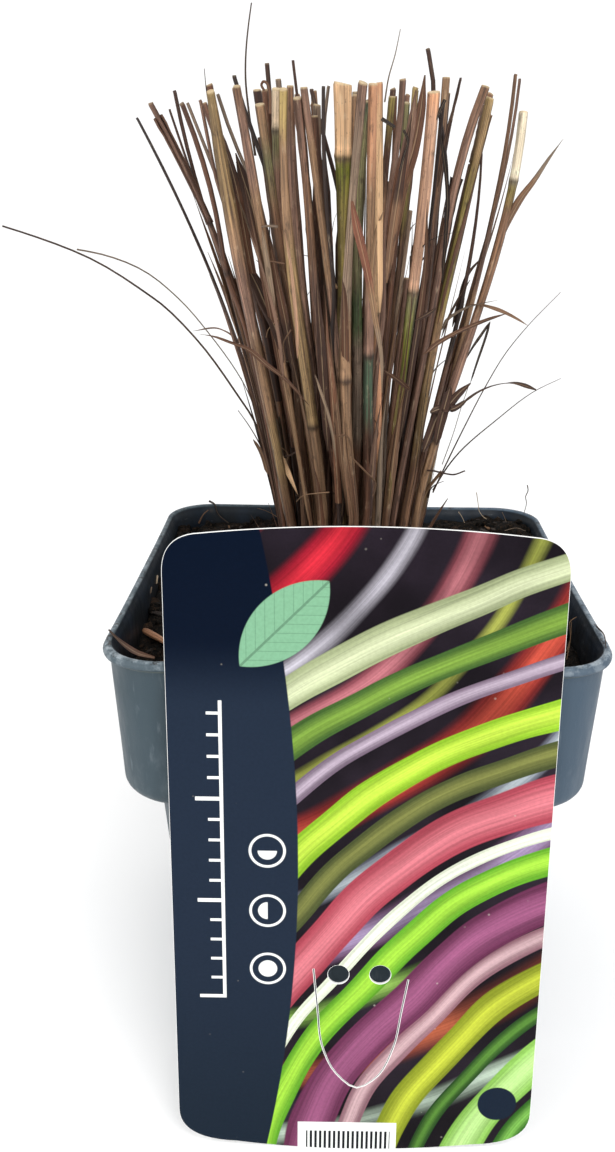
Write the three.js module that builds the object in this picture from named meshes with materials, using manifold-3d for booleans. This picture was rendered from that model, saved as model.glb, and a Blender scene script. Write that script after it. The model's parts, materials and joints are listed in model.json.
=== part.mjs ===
import * as THREE from 'three';
import { mergeVertices } from 'three/addons/utils/BufferGeometryUtils.js';
import Module from 'manifold-3d';

// A clump of cut ornamental grass in a square nursery pot, with a printed card label that
// leans on the rim. Millimetres, +Z up, the origin in the middle of the pot's base, the
// front at -Y.

// The pot: half-widths of its square outlines, and heights
const POT_HEIGHT = 97.5;
const RIM_HALF = 45.1;
const COLLAR_HALF = 44.1;
const COLLAR_FOOT_HALF = 43.6;
const BODY_HALF = 37.9;
const BASE_HALF = 34.0;
const COLLAR_FOOT = 70.6;
const SHOULDER_RADIUS = COLLAR_FOOT_HALF - BODY_HALF;
const BEAD_HEIGHT = 2.1;
const BEAD_MIDDLE = POT_HEIGHT - BEAD_HEIGHT / 2;
const LIP_WIDTH = 1.7;
const LIP_ROUND = 0.5;
const WALL = 1.1;
const FLOOR = 1.6;
const EDGE_ROUND = 0.8;
const CORNER_SHARE = 0.23;
const CORNER_STEPS = 4;
const SIDE_STEPS = 2;
const CORNER_FLARE = 0.5;
const SHOULDER_STEPS = 3;
const CORNER_DRAIN = { place: 21, radius: 4 };
const SIDE_DRAIN = { place: 25, radius: 3 };
const DRAIN_SIDES = 12;

// The gap that is left between two pieces that touch
const GAP = 0.3;

// The soil: its top falls towards the front, with a mound round the crown and one in the
// far right corner, low swells and crumbs
const SOIL_LEVEL = 90.3;
const SOIL_FALL = new THREE.Vector2(0.01, 0.075);
const SOIL_MOUND = { height: 1.0, radius: 20 };
const CORNER_MOUND = { height: 2.2, x: 38, y: 36, radius: 13 };
const SOIL_SWELL = { height: 0.35, waves: [[0.55, 0.2], [0.25, -0.6], [0.7, 0.5]] };
const SOIL_RINGS = 8;
const CRUMBS = { count: 44, smallest: 0.9, largest: 2.2, height: 1.5, sunk: 0.7, seed: 7 };

// The crown, a plain round recess in the soil that the roots of the tillers fill
const CROWN = new THREE.Vector2(-1, 2);
const CROWN_RADIUS = 14.8;
const CROWN_DEPTH = 82;
const CROWN_SIDES = 24;
const CROWN_CUT_HEIGHT = 40;

// The tillers: each has a root plug and seven culms, on one triangular lattice
const CULM_SPACING = 2.1;
const LATTICE_TURN = 0.19;
const TILLER_RINGS = 2;
const TILLER_SEED = 101;
const TILLER_SEED_STEP = 17;
const PLUG_RADIUS = 2.35;
const PLUG_SIDES = 8;
const PLUG_TOP = 92.2;
const CULM_FOOT = 84;
const CULM_SIDES = 5;
const CULM_STEPS = 3;
const CULM_RADIUS = { thin: 0.58, thick: 0.92 };
const CULM_TAPER = { foot: 1.08, top: 0.88 };

// The fan: the lattice widens, turns, leans and sways as it rises
const FAN_START = 89;
const FAN_HEIGHT = 99;
const FAN_SPREAD = 1.35;
const FAN_POWER = 1.4;
const FAN_LEAN = new THREE.Vector2(-2.2, 0.5);
const FAN_TWIST = 0.24;
const CLUMP_RADIUS = 13.5;
const LEFT_PUSH = 0.1;
const SWAY = { size: 2.4, wave: 0.1, across: 0.4, along: 1.9 };
const WANDER = 0.85;
const BOW = { size: 0.25, wave: 3 };

// Most culms are cut level. A few stand taller, and a few are broken off short.
const CUT_LEVEL = 187.2;
const CUT_SPREAD = 3.2;
const TALL = { share: 0.05, least: 2, spread: 4 };
const BROKEN = { share: 0.14, lowest: 112, spread: 55 };

// The leaf blades of the outermost culms, which lean a little outwards
const BLADE_THICKNESS = 0.62;
const BLADE_STEPS = 5;
const BLADE_SHARE = 0.9;
const BLADE_ROOT_REACH = 10.8;
const BLADE_FOOT = { lowest: 100, highest: 150, belowTop: 8 };
const BLADE_LENGTH = { lowest: 22, highest: 44 };
const BLADE_WIDTH = { lowest: 1.3, highest: 2.2, tip: 0.7 };
const BLADE_SWELL = { start: 0.28, length: 0.68 };
const BLADE_LEAN = { lowest: 0.1, highest: 0.55, droop: 0.35, reach: 0.8, power: 1.6 };

// The arching blades leave the outermost culm that faces their heading, in degrees, at the
// height of their foot, and their reach is outwards and up from there.
const ARCH_TIP_WIDTH = 0.65;
const ARCH_TAPER = 0.6;
const ARCHING_BLADES = [
  { heading: 183, foot: 119, width: 1.5, reach: [[0, 0], [4, 14], [11, 25], [20, 33], [31, 39], [50, 45]] },
  { heading: 163, foot: 114, width: 1.3, reach: [[0, 0], [5, 18], [12, 31], [21, 39], [38, 46]] },
  { heading: 212, foot: 163, width: 0.8, reach: [[0, 0], [0.8, 19], [1.2, 38]] },
  { heading: 203, foot: 128, width: 1.6, reach: [[0, 0], [5, 9], [11, 14], [17, 15]] },
  { heading: 2, foot: 146, width: 1.8, reach: [[0, 0], [4, 5], [9, 4.5], [15, 1]] },
  { heading: -16, foot: 126, width: 2.0, reach: [[0, 0], [6, 5.5], [12, 9], [18, 9.5]] },
  { heading: 14, foot: 155, width: 1.6, reach: [[0, 0], [4, 11], [9, 21], [13, 26]] },
  { heading: -30, foot: 116, width: 0.8, reach: [[0, 0], [5, 13], [12, 25], [22, 38]] },
  { heading: 28, foot: 115, width: 0.8, reach: [[0, 0], [6, 9], [13, 16], [24, 22]] },
  { heading: 62, foot: 118, width: 1.6, reach: [[0, 0], [5, 16], [13, 26], [23, 30], [31, 28]] },
  { heading: 104, foot: 126, width: 1.4, reach: [[0, 0], [4, 14], [11, 25], [20, 32], [28, 35]] },
  { heading: 136, foot: 132, width: 1.6, reach: [[0, 0], [5, 8], [12, 12], [20, 11]] },
  { heading: 248, foot: 139, width: 1.6, reach: [[0, 0], [4, 10], [9, 17], [15, 20]] },
  { heading: 297, foot: 150, width: 1.4, reach: [[0, 0], [3, 9], [8, 16], [14, 19]] },
];

// The loose bits: a piece of straw on the soil, and a dry leaf across a corner of the rim
const STRAW_RADIUS = 0.65;
const STRAW_SIDES = 6;
const STRAW_ENDS = [[-41.2, -16.5], [-33.0, -25.0]];
const DRY_LEAF_WIDTHS = [0.8, 1.4, 1.6, 1.6, 1.3, 0.7];
const DRY_LEAF_POINTS = [
  [-44.4, -29.5, 0], [-42.2, -32.0, -0.1], [-38.6, -36.4, -1.6],
  [-35.2, -40.0, -1.2], [-32.0, -43.0, 0.2], [-30.6, -44.2, 0.3],
];

// The label: a card with a bowed top and bottom edge, two round holes and a cut tongue
const LABEL_WIDTH = 67.5;
const LABEL_LENGTH = 122.7;
const LABEL_THICKNESS = 0.7;
const LABEL_TILT = THREE.MathUtils.degToRad(8.2);
const LABEL_SHIFT = 1.0;
const LABEL_BOW = 1.8;
const LABEL_EDGE_RISE = 0.2;
const LABEL_TOP_ROUND = 4.5;
const LABEL_FOOT_ROUND = 6.5;
const LABEL_ARC_STEPS = 6;
const LABEL_HOLE_RADIUS = 1.95;
const LABEL_HOLES = [[-3.5, 38.9], [4.2, 39.0]];
const TONGUE_SLIT = 0.5;
const TONGUE_POINTS = [
  [-8.1, 40.0], [-7.3, 31.5], [-6.3, 23.2], [-3.6, 17.3], [0.4, 14.2],
  [3.6, 16.2], [7.0, 23.2], [8.3, 31.0], [9.4, 38.0],
];

const ORIGIN = new THREE.Vector2();
const MERGE_DISTANCE = 1e-4;

const wasm = await Module();
wasm.setup();

// A repeatable draw between 0 and 1
function makeDraw(seed) {
  let state = seed;
  return () => {
    state = (Math.imul(state, 1664525) + 1013904223) >>> 0;
    return state / 4294967296;
  };
}

function between({ lowest, highest }, share) {
  return THREE.MathUtils.lerp(lowest, highest, share);
}

// Turns a closed geometry into a solid that can be joined or cut
function solidOf(geometry) {
  geometry.deleteAttribute('normal');
  geometry.deleteAttribute('uv');
  const merged = mergeVertices(geometry, MERGE_DISTANCE);
  const corners = merged.index.array;
  const kept = [];
  for (let i = 0; i < corners.length; i += 3) {
    const [a, b, c] = corners.slice(i, i + 3);
    if (a !== b && b !== c && c !== a) kept.push(a, b, c);
  }
  return new wasm.Manifold(new wasm.Mesh({
    numProp: 3,
    vertProperties: new Float32Array(merged.attributes.position.array),
    triVerts: new Uint32Array(kept),
  }));
}

function geometryOf(solid) {
  const { vertProperties, triVerts } = solid.getMesh();
  const geometry = new THREE.BufferGeometry();
  geometry.setAttribute('position', new THREE.BufferAttribute(vertProperties, 3));
  geometry.setIndex(new THREE.BufferAttribute(triVerts, 1));
  return geometry;
}

function joinAll(solids) {
  return solids.reduce((whole, solid) => whole.add(solid));
}

// Moves each vertex of a geometry by a rule
function reshape(geometry, rule) {
  const place = geometry.attributes.position;
  const point = new THREE.Vector3();
  for (let i = 0; i < place.count; i += 1) {
    point.fromBufferAttribute(place, i);
    rule(point);
    place.setXYZ(i, point.x, point.y, point.z);
  }
  return geometry;
}

// A square with round corners, in equal steps: each quarter is a corner and then a side
const QUARTER_STEPS = CORNER_STEPS + SIDE_STEPS;
const RING_STEPS = 4 * QUARTER_STEPS;

function roundedSquarePoint(half, step, flare) {
  const point = new THREE.Vector2();
  if (half === 0) return point;
  const quarter = Math.floor(step / QUARTER_STEPS) % 4;
  const rest = step % QUARTER_STEPS;
  const corner = half * CORNER_SHARE;
  const inner = half - corner;
  if (rest <= CORNER_STEPS) {
    const angle = (rest / CORNER_STEPS) * Math.PI / 2;
    point.set(inner + corner * Math.cos(angle), inner + corner * Math.sin(angle));
  } else {
    const share = (rest - CORNER_STEPS) / SIDE_STEPS;
    point.set(inner * (1 - 2 * share), half);
  }
  const nearCorner = Math.min(Math.abs(point.x), Math.abs(point.y)) / half;
  point.multiplyScalar(1 + flare * nearCorner ** 3 / half);
  return point.rotateAround(ORIGIN, quarter * Math.PI / 2);
}

// How far the corners stand out of the square, which grows towards the rim
function flareAt(z) {
  return CORNER_FLARE * THREE.MathUtils.smoothstep(z, COLLAR_FOOT, POT_HEIGHT);
}

// A turned profile whose circles are drawn out to rounded squares
function squareTurned(profile) {
  const points = profile.map(([half, z]) => new THREE.Vector2(half, z));
  const lathe = new THREE.LatheGeometry(points, RING_STEPS);
  return reshape(lathe, (point) => {
    const half = Math.hypot(point.x, point.z);
    const angle = Math.atan2(-point.z, point.x) + 2 * Math.PI;
    const step = Math.round((angle / (2 * Math.PI)) * RING_STEPS) % RING_STEPS;
    const flat = roundedSquarePoint(half, step, flareAt(point.y));
    point.set(flat.x, flat.y, point.y);
  });
}

// The curve under the collar, seen in section, from its foot upwards
function shoulder(radius) {
  const points = [];
  for (let i = SHOULDER_STEPS; i >= 0; i -= 1) {
    const angle = (i / SHOULDER_STEPS) * Math.PI / 2;
    points.push([BODY_HALF + radius * Math.cos(angle), COLLAR_FOOT - radius * Math.sin(angle)]);
  }
  return points;
}

function drainHole(place, radius) {
  const drain = new THREE.CylinderGeometry(radius, radius, 4 * FLOOR, DRAIN_SIDES);
  return solidOf(drain.rotateX(Math.PI / 2).translate(place.x, place.y, 0));
}

function makePot() {
  const bead = POT_HEIGHT - BEAD_HEIGHT;
  const lipInner = RIM_HALF - LIP_WIDTH;
  const outside = [
    [0, 0],
    [BASE_HALF - EDGE_ROUND, 0],
    [BASE_HALF, EDGE_ROUND],
    [BODY_HALF, COLLAR_FOOT - SHOULDER_RADIUS - GAP],
    ...shoulder(SHOULDER_RADIUS),
    [COLLAR_HALF, bead],
    [RIM_HALF, BEAD_MIDDLE],
    [RIM_HALF - LIP_ROUND, POT_HEIGHT],
  ];
  const inside = [
    [lipInner, POT_HEIGHT],
    [COLLAR_HALF - WALL, bead],
    ...shoulder(SHOULDER_RADIUS - WALL).reverse(),
    [BODY_HALF - WALL, COLLAR_FOOT - SHOULDER_RADIUS],
    [BASE_HALF - WALL, FLOOR + EDGE_ROUND],
    [BASE_HALF - WALL - EDGE_ROUND, FLOOR],
    [0, FLOOR],
  ];
  let pot = solidOf(squareTurned([...outside, ...inside]));
  for (let turn = 0; turn < 4; turn += 1) {
    const angle = turn * Math.PI / 2;
    const diagonal = new THREE.Vector2(CORNER_DRAIN.place, CORNER_DRAIN.place);
    const straight = new THREE.Vector2(SIDE_DRAIN.place, 0);
    pot = pot.subtract(drainHole(diagonal.rotateAround(ORIGIN, angle), CORNER_DRAIN.radius));
    pot = pot.subtract(drainHole(straight.rotateAround(ORIGIN, angle), SIDE_DRAIN.radius));
  }
  return geometryOf(pot);
}

function moundHeight({ height, radius }, x, y) {
  return height * Math.exp(-(x * x + y * y) / (radius * radius));
}

// The height of the soil's surface
function soilHeight(x, y) {
  const slope = SOIL_FALL.x * x + SOIL_FALL.y * y;
  const mound = moundHeight(SOIL_MOUND, x - CROWN.x, y - CROWN.y);
  const corner = moundHeight(CORNER_MOUND, x - CORNER_MOUND.x, y - CORNER_MOUND.y);
  const swell = SOIL_SWELL.waves.reduce((sum, [a, b], i) => sum + Math.sin(a * x + b * y + i), 0);
  return SOIL_LEVEL + slope + mound + corner + SOIL_SWELL.height * swell;
}

// Crumbs of soil and bark, each a small clod that is sunk well into the surface
function makeCrumbs() {
  const draw = makeDraw(CRUMBS.seed);
  const reach = COLLAR_HALF - WALL - GAP;
  const corner = reach * CORNER_SHARE;
  const clods = [];
  while (clods.length < CRUMBS.count) {
    const [x, y] = [2 * reach * (draw() - 0.5), 2 * reach * (draw() - 0.5)];
    const size = THREE.MathUtils.lerp(CRUMBS.smallest, CRUMBS.largest, draw() ** 2);
    const turn = draw() * Math.PI;
    const past = (v) => Math.max(Math.abs(v) - (reach - corner), 0);
    const inPot = Math.hypot(past(x), past(y)) + size < corner;
    if (inPot && Math.hypot(x - CROWN.x, y - CROWN.y) > CROWN_RADIUS) {
      const clod = new THREE.OctahedronGeometry(size).scale(1, 0.8, CRUMBS.height);
      clod.rotateX(Math.sin(turn) / 2).rotateZ(2 * turn);
      clod.translate(x, y, soilHeight(x, y) - CRUMBS.sunk * size);
      clods.push(solidOf(clod));
    }
  }
  return clods;
}

function makeSoil() {
  const bodyInside = BODY_HALF - WALL - GAP;
  const baseInside = BASE_HALF - WALL - GAP;
  const topInside = COLLAR_HALF - WALL - GAP;
  const floor = FLOOR + GAP;
  const profile = [
    [0, floor],
    [baseInside - EDGE_ROUND, floor],
    [baseInside, floor + EDGE_ROUND],
    [bodyInside, COLLAR_FOOT - SHOULDER_RADIUS + WALL + GAP],
    ...shoulder(SHOULDER_RADIUS - WALL - GAP),
  ];
  for (let ring = SOIL_RINGS; ring >= 0; ring -= 1) {
    profile.push([topInside * ring / SOIL_RINGS, SOIL_LEVEL]);
  }
  const soil = reshape(squareTurned(profile), (point) => {
    const onTop = Math.abs(point.z - SOIL_LEVEL) < GAP;
    if (onTop) point.z = soilHeight(point.x, point.y);
  });
  const recess = new THREE.CylinderGeometry(CROWN_RADIUS, CROWN_RADIUS, CROWN_CUT_HEIGHT, CROWN_SIDES);
  recess.rotateX(Math.PI / 2).translate(CROWN.x, CROWN.y, CROWN_DEPTH + CROWN_CUT_HEIGHT / 2);
  return geometryOf(joinAll([solidOf(soil), ...makeCrumbs()]).subtract(solidOf(recess)));
}

// How far up the fan a height is, from 0 at the soil to about 1 at the cut
function riseAt(z) {
  return Math.max(0, (z - FAN_START) / FAN_HEIGHT);
}

function spreadAt(rise) {
  return FAN_SPREAD * rise ** FAN_POWER;
}

// Where the fan carries a root to at a height
function fanPoint(root, z) {
  const rise = riseAt(z);
  const outer = (root.length() / CLUMP_RADIUS) ** 3;
  const push = LEFT_PUSH * rise * rise * outer * (1 - root.x / CLUMP_RADIUS);
  const turned = root.clone().rotateAround(ORIGIN, FAN_TWIST * rise);
  const { x, y } = turned.multiplyScalar((1 + spreadAt(rise)) * (1 + push));
  const sway = SWAY.size * rise * rise;
  return new THREE.Vector3(
    CROWN.x + x + FAN_LEAN.x * rise + sway * Math.sin(SWAY.wave * y + SWAY.across),
    CROWN.y + y + FAN_LEAN.y * rise + sway * Math.sin(SWAY.wave * x + SWAY.along),
    z,
  );
}

// The roots of the tillers' culms: the middle of each tiller and its six neighbours
const NEIGHBOURS = [[0, 0], [1, 0], [0, 1], [-1, 1], [-1, 0], [0, -1], [1, -1]];

function latticePoint(i, j) {
  const point = new THREE.Vector2(i + j / 2, j * Math.sqrt(3) / 2).multiplyScalar(CULM_SPACING);
  return point.rotateAround(ORIGIN, LATTICE_TURN);
}

function tillerRoots() {
  const tillers = [];
  for (let m = -TILLER_RINGS; m <= TILLER_RINGS; m += 1) {
    for (let n = -TILLER_RINGS; n <= TILLER_RINGS; n += 1) {
      if (Math.abs(m + n) <= TILLER_RINGS) {
        const [i, j] = [2 * m - n, m + 3 * n];
        tillers.push(NEIGHBOURS.map(([di, dj]) => latticePoint(i + di, j + dj)));
      }
    }
  }
  return tillers;
}

// What one culm is like: its wander off the fan, its radius and the height it was cut at
function drawCulm(root, draw) {
  const angle = 2 * Math.PI * draw();
  const size = WANDER * Math.sqrt(draw());
  const radius = THREE.MathUtils.lerp(CULM_RADIUS.thin, CULM_RADIUS.thick, draw());
  const kind = draw();
  const height = draw();
  let top = CUT_LEVEL + CUT_SPREAD * (height - 0.5);
  if (kind < TALL.share) top = CUT_LEVEL + TALL.least + TALL.spread * height;
  if (kind > 1 - BROKEN.share) top = BROKEN.lowest + BROKEN.spread * height;
  const wander = new THREE.Vector2(Math.cos(angle), Math.sin(angle)).multiplyScalar(size);
  return { root, wander, radius, top, phase: 2 * Math.PI * draw() };
}

// The middle of a culm at a height
function culmPoint(culm, z) {
  const rise = riseAt(z);
  const point = fanPoint(culm.root, z);
  const bow = BOW.size * Math.sin(BOW.wave * rise + culm.phase) * Math.min(1, BOW.wave * rise);
  point.x += culm.wander.x * spreadAt(rise) + bow * Math.cos(culm.phase);
  point.y += culm.wander.y * spreadAt(rise) + bow * Math.sin(culm.phase);
  return point;
}

// The directions across a path at each of its points
function pathFrames(path, side) {
  return path.map((point, i) => {
    const before = path[Math.max(0, i - 1)];
    const after = path[Math.min(path.length - 1, i + 1)];
    const along = after.clone().sub(before).normalize();
    const wide = side.clone().addScaledVector(along, -side.dot(along)).normalize();
    return { point, wide, thick: wide.clone().cross(along) };
  });
}

// Bends an upright piece of unit height along a path, scaled across at each point
function bendAlong(geometry, path, side, widths, thicknesses) {
  const steps = path.length - 1;
  const frames = pathFrames(path, side);
  return reshape(geometry, (vertex) => {
    const k = Math.round((vertex.y + 0.5) * steps);
    const { point, wide, thick } = frames[k];
    const [a, b] = [vertex.x * widths[k], vertex.z * thicknesses[k]];
    vertex.copy(point).addScaledVector(wide, a).addScaledVector(thick, b);
  });
}

function bentRod(path, radii, sides) {
  const rod = new THREE.CylinderGeometry(1, 1, 1, sides, path.length - 1);
  return solidOf(bendAlong(rod, path, new THREE.Vector3(1, 0, 0), radii, radii));
}

function bentBlade(path, widths, side) {
  const blade = new THREE.BoxGeometry(1, 1, 1, 1, path.length - 1, 1);
  return solidOf(bendAlong(blade, path, side, widths, widths.map(() => BLADE_THICKNESS)));
}

function makeCulm(culm) {
  const path = [];
  const radii = [];
  for (let i = 0; i <= CULM_STEPS; i += 1) {
    const share = i / CULM_STEPS;
    path.push(culmPoint(culm, THREE.MathUtils.lerp(CULM_FOOT, culm.top, share)));
    radii.push(culm.radius * THREE.MathUtils.lerp(CULM_TAPER.foot, CULM_TAPER.top, share));
  }
  return bentRod(path, radii, CULM_SIDES);
}

// The level directions out of the clump and along its edge, at a root
function outwardFrom(root) {
  const out = new THREE.Vector3(root.x, root.y, 0).normalize();
  return { out, side: new THREE.Vector3(-out.y, out.x, 0) };
}

// A blade that leaves an outer culm and leans away from the clump
function makeBlade(culm, foot, length, lean, width) {
  const { out, side } = outwardFrom(culm.root);
  const path = [];
  const widths = [];
  for (let i = 0; i <= BLADE_STEPS; i += 1) {
    const share = i / BLADE_STEPS;
    const z = foot + length * (share - BLADE_LEAN.droop * lean * share * share);
    const outwards = length * lean * BLADE_LEAN.reach * share ** BLADE_LEAN.power;
    const swell = Math.sin(Math.PI * (BLADE_SWELL.start + BLADE_SWELL.length * share));
    path.push(culmPoint(culm, z).addScaledVector(out, outwards));
    widths.push(Math.max(BLADE_WIDTH.tip, width * swell));
  }
  return bentBlade(path, widths, side);
}

// A seeded blade on an outer culm, or none
function seededBlades(culm, draw) {
  const [chance, where, long, lean, wide] = [draw(), draw(), draw(), draw(), draw()];
  const foot = between(BLADE_FOOT, where);
  const outermost = culm.root.length() > BLADE_ROOT_REACH;
  if (!outermost || chance > BLADE_SHARE || foot > culm.top - BLADE_FOOT.belowTop) return [];
  const slant = between(BLADE_LEAN, lean * lean);
  return [makeBlade(culm, foot, between(BLADE_LENGTH, long), slant, between(BLADE_WIDTH, wide))];
}

// The arching blades of a culm: those whose heading it faces more than any other culm
function archingBladesOf(root, allRoots) {
  return ARCHING_BLADES.filter(({ heading }) => {
    const angle = THREE.MathUtils.degToRad(heading);
    const way = new THREE.Vector2(Math.cos(angle), Math.sin(angle));
    return root.dot(way) === Math.max(...allRoots.map((other) => other.dot(way)));
  });
}

function makeArchingBlade(culm, blade) {
  const { out, side } = outwardFrom(culm.root);
  const start = culmPoint(culm, blade.foot);
  const last = blade.reach.length - 1;
  const path = blade.reach.map(([outwards, up]) => {
    const point = start.clone().addScaledVector(out, outwards);
    point.z += up;
    return point;
  });
  const widths = path.map((_, i) => blade.width * (1 - ARCH_TAPER * (i / last) ** 2));
  return bentBlade(path, widths.map((width) => Math.max(ARCH_TIP_WIDTH, width)), side);
}

// The root plug of a tiller, with a low domed top
function makePlug(middle) {
  const height = PLUG_TOP - CROWN_DEPTH - GAP;
  const profile = [
    [0, 0],
    [PLUG_RADIUS, 0],
    [PLUG_RADIUS, 0.8 * height],
    [0.6 * PLUG_RADIUS, 0.96 * height],
    [0, height],
  ];
  const points = profile.map(([radius, z]) => new THREE.Vector2(radius, z));
  const plug = new THREE.LatheGeometry(points, PLUG_SIDES).rotateX(Math.PI / 2);
  return solidOf(plug.translate(CROWN.x + middle.x, CROWN.y + middle.y, CROWN_DEPTH + GAP));
}

function makeTiller(roots, allRoots, draw) {
  const solids = [makePlug(roots[0])];
  for (const root of roots) {
    const culm = drawCulm(root, draw);
    const blades = seededBlades(culm, draw);
    const arching = archingBladesOf(root, allRoots);
    if (arching.length > 0) {
      culm.top = Math.max(culm.top, CUT_LEVEL - CUT_SPREAD);
      solids.push(...arching.map((blade) => makeArchingBlade(culm, blade)));
    } else {
      solids.push(...blades);
    }
    solids.push(makeCulm(culm));
  }
  return geometryOf(joinAll(solids));
}

// The outline of the label, with its height measured up the card from its lowest point
function labelShape() {
  const half = LABEL_WIDTH / 2;
  const top = LABEL_LENGTH - LABEL_BOW;
  const rise = LABEL_BOW * LABEL_EDGE_RISE;
  const pull = 2 * LABEL_BOW - rise;
  const [topEnd, footEnd] = [half - LABEL_TOP_ROUND, half - LABEL_FOOT_ROUND];
  const shape = new THREE.Shape();
  shape.moveTo(-half, LABEL_BOW + LABEL_FOOT_ROUND);
  shape.quadraticCurveTo(-half, LABEL_BOW, -footEnd, LABEL_BOW - rise);
  shape.quadraticCurveTo(0, LABEL_BOW - pull, footEnd, LABEL_BOW - rise);
  shape.quadraticCurveTo(half, LABEL_BOW, half, LABEL_BOW + LABEL_FOOT_ROUND);
  shape.lineTo(half, top - LABEL_TOP_ROUND);
  shape.quadraticCurveTo(half, top, topEnd, top + rise);
  shape.quadraticCurveTo(0, top + pull, -topEnd, top + rise);
  shape.quadraticCurveTo(-half, top, -half, top - LABEL_TOP_ROUND);
  shape.closePath();
  return shape;
}

function tongueSlit() {
  const middle = new THREE.SplineCurve(TONGUE_POINTS.map(([u, s]) => new THREE.Vector2(u, s)));
  const steps = 2 * (TONGUE_POINTS.length - 1);
  const left = [];
  const right = [];
  for (let i = 0; i <= steps; i += 1) {
    const point = middle.getPoint(i / steps);
    const along = middle.getTangent(i / steps);
    const across = new THREE.Vector2(-along.y, along.x).multiplyScalar(TONGUE_SLIT / 2);
    left.push(point.clone().add(across));
    right.unshift(point.clone().sub(across));
  }
  return new THREE.Path([...left, ...right]);
}

function makeLabel() {
  const shape = labelShape();
  for (const [u, s] of LABEL_HOLES) {
    shape.holes.push(new THREE.Path().absarc(u, s, LABEL_HOLE_RADIUS, 0, 2 * Math.PI, true));
  }
  shape.holes.push(tongueSlit());
  return geometryOf(solidOf(new THREE.ExtrudeGeometry(shape, {
    depth: LABEL_THICKNESS,
    bevelEnabled: false,
    curveSegments: LABEL_ARC_STEPS,
  })));
}

// Where the foot of the label stands, so that its back just clears the bead of the rim
function labelFoot() {
  const rise = (GAP + BEAD_MIDDLE * Math.sin(LABEL_TILT)) / Math.cos(LABEL_TILT);
  return new THREE.Vector3(LABEL_SHIFT, -(RIM_HALF + rise), 0);
}

// The piece of straw lies level, on the highest soil that is under it
function makeStrawBit() {
  const [start, end] = STRAW_ENDS.map(([x, y]) => new THREE.Vector3(x, y, 0));
  const heights = [0, 0.2, 0.4, 0.6, 0.8, 1].map((share) => {
    const at = start.clone().lerp(end, share);
    return soilHeight(at.x, at.y);
  });
  start.z = Math.max(...heights) + STRAW_RADIUS + GAP;
  end.z = start.z;
  return geometryOf(bentRod([start, end], [STRAW_RADIUS, STRAW_RADIUS], STRAW_SIDES));
}

function makeDryLeaf() {
  const level = POT_HEIGHT + GAP + BLADE_THICKNESS / 2;
  const path = DRY_LEAF_POINTS.map(([x, y, z]) => new THREE.Vector3(x, y, level + z));
  return geometryOf(bentBlade(path, DRY_LEAF_WIDTHS, new THREE.Vector3(1, 1, 0)));
}

function makeMesh(name, geometry, color, roughness) {
  const material = new THREE.MeshStandardMaterial({ color, roughness, metalness: 0 });
  const mesh = new THREE.Mesh(geometry, material);
  mesh.name = name;
  return mesh;
}

const model = new THREE.Group();
model.add(makeMesh('pot', makePot(), 0x56676f, 0.6));
model.add(makeMesh('soil', makeSoil(), 0x251f1a, 0.95));
model.add(makeMesh('straw_bit', makeStrawBit(), 0xb99a6c, 0.7));
model.add(makeMesh('dry_leaf', makeDryLeaf(), 0x6b4f3b, 0.75));

const label = makeMesh('label', makeLabel(), 0x2c374a, 0.35);
label.position.copy(labelFoot());
label.rotation.x = Math.PI / 2 - LABEL_TILT;
model.add(label);

const clump = new THREE.Group();
const tillers = tillerRoots();
tillers.forEach((roots, index) => {
  const name = `tiller_${String(index + 1).padStart(2, '0')}`;
  const draw = makeDraw(TILLER_SEED + TILLER_SEED_STEP * index);
  clump.add(makeMesh(name, makeTiller(roots, tillers.flat(), draw), 0x8f7450, 0.7));
});
model.add(clump);

export default model;
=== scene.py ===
import json
import math

import bmesh
import bpy
import numpy as np
from bpy.props import FloatProperty, FloatVectorProperty, IntProperty, PointerProperty
from mathutils import Matrix, Vector, noise

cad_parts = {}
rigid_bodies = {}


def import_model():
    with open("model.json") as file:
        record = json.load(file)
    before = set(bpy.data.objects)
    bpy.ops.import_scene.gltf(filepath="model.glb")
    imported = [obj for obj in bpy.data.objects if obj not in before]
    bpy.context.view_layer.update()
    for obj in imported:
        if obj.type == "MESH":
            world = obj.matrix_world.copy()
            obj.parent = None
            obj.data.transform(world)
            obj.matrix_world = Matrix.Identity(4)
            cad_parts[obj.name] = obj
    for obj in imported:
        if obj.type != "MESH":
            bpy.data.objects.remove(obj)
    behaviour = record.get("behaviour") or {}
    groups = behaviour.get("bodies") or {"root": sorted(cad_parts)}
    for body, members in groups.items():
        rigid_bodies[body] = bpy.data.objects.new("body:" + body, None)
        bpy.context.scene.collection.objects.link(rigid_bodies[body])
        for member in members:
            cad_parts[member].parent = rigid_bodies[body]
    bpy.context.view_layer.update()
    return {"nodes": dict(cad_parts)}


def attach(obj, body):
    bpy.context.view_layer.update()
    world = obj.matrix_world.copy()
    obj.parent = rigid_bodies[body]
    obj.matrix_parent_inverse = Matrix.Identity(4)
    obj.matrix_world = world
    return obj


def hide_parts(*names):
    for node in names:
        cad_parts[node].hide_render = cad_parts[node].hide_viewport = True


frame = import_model()

bl_info = {
    "name": "Potted Ornamental Grass",
    "version": (1, 0, 0),
    "blender": (4, 5, 0),
    "location": "View3D > Sidebar > Potted Grass",
    "description": "Makes a clump of dry cut grass in a square nursery pot, with its card label",
    "category": "Add Mesh",
}

# Sizes are written in millimetres, and meshes are made in metres
MM = 0.001
SQUARE_CM = 0.0001
BODY = "root"
TILLERS = sorted(name for name in frame["nodes"] if name.startswith("tiller_"))


def srgb(red, green, blue):
    """A colour that is given from 0 to 255, in the linear values that materials take."""
    def linear(level):
        share = level / 255
        return share / 12.92 if share <= 0.04045 else ((share + 0.055) / 1.055) ** 2.4
    return linear(red), linear(green), linear(blue)


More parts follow.
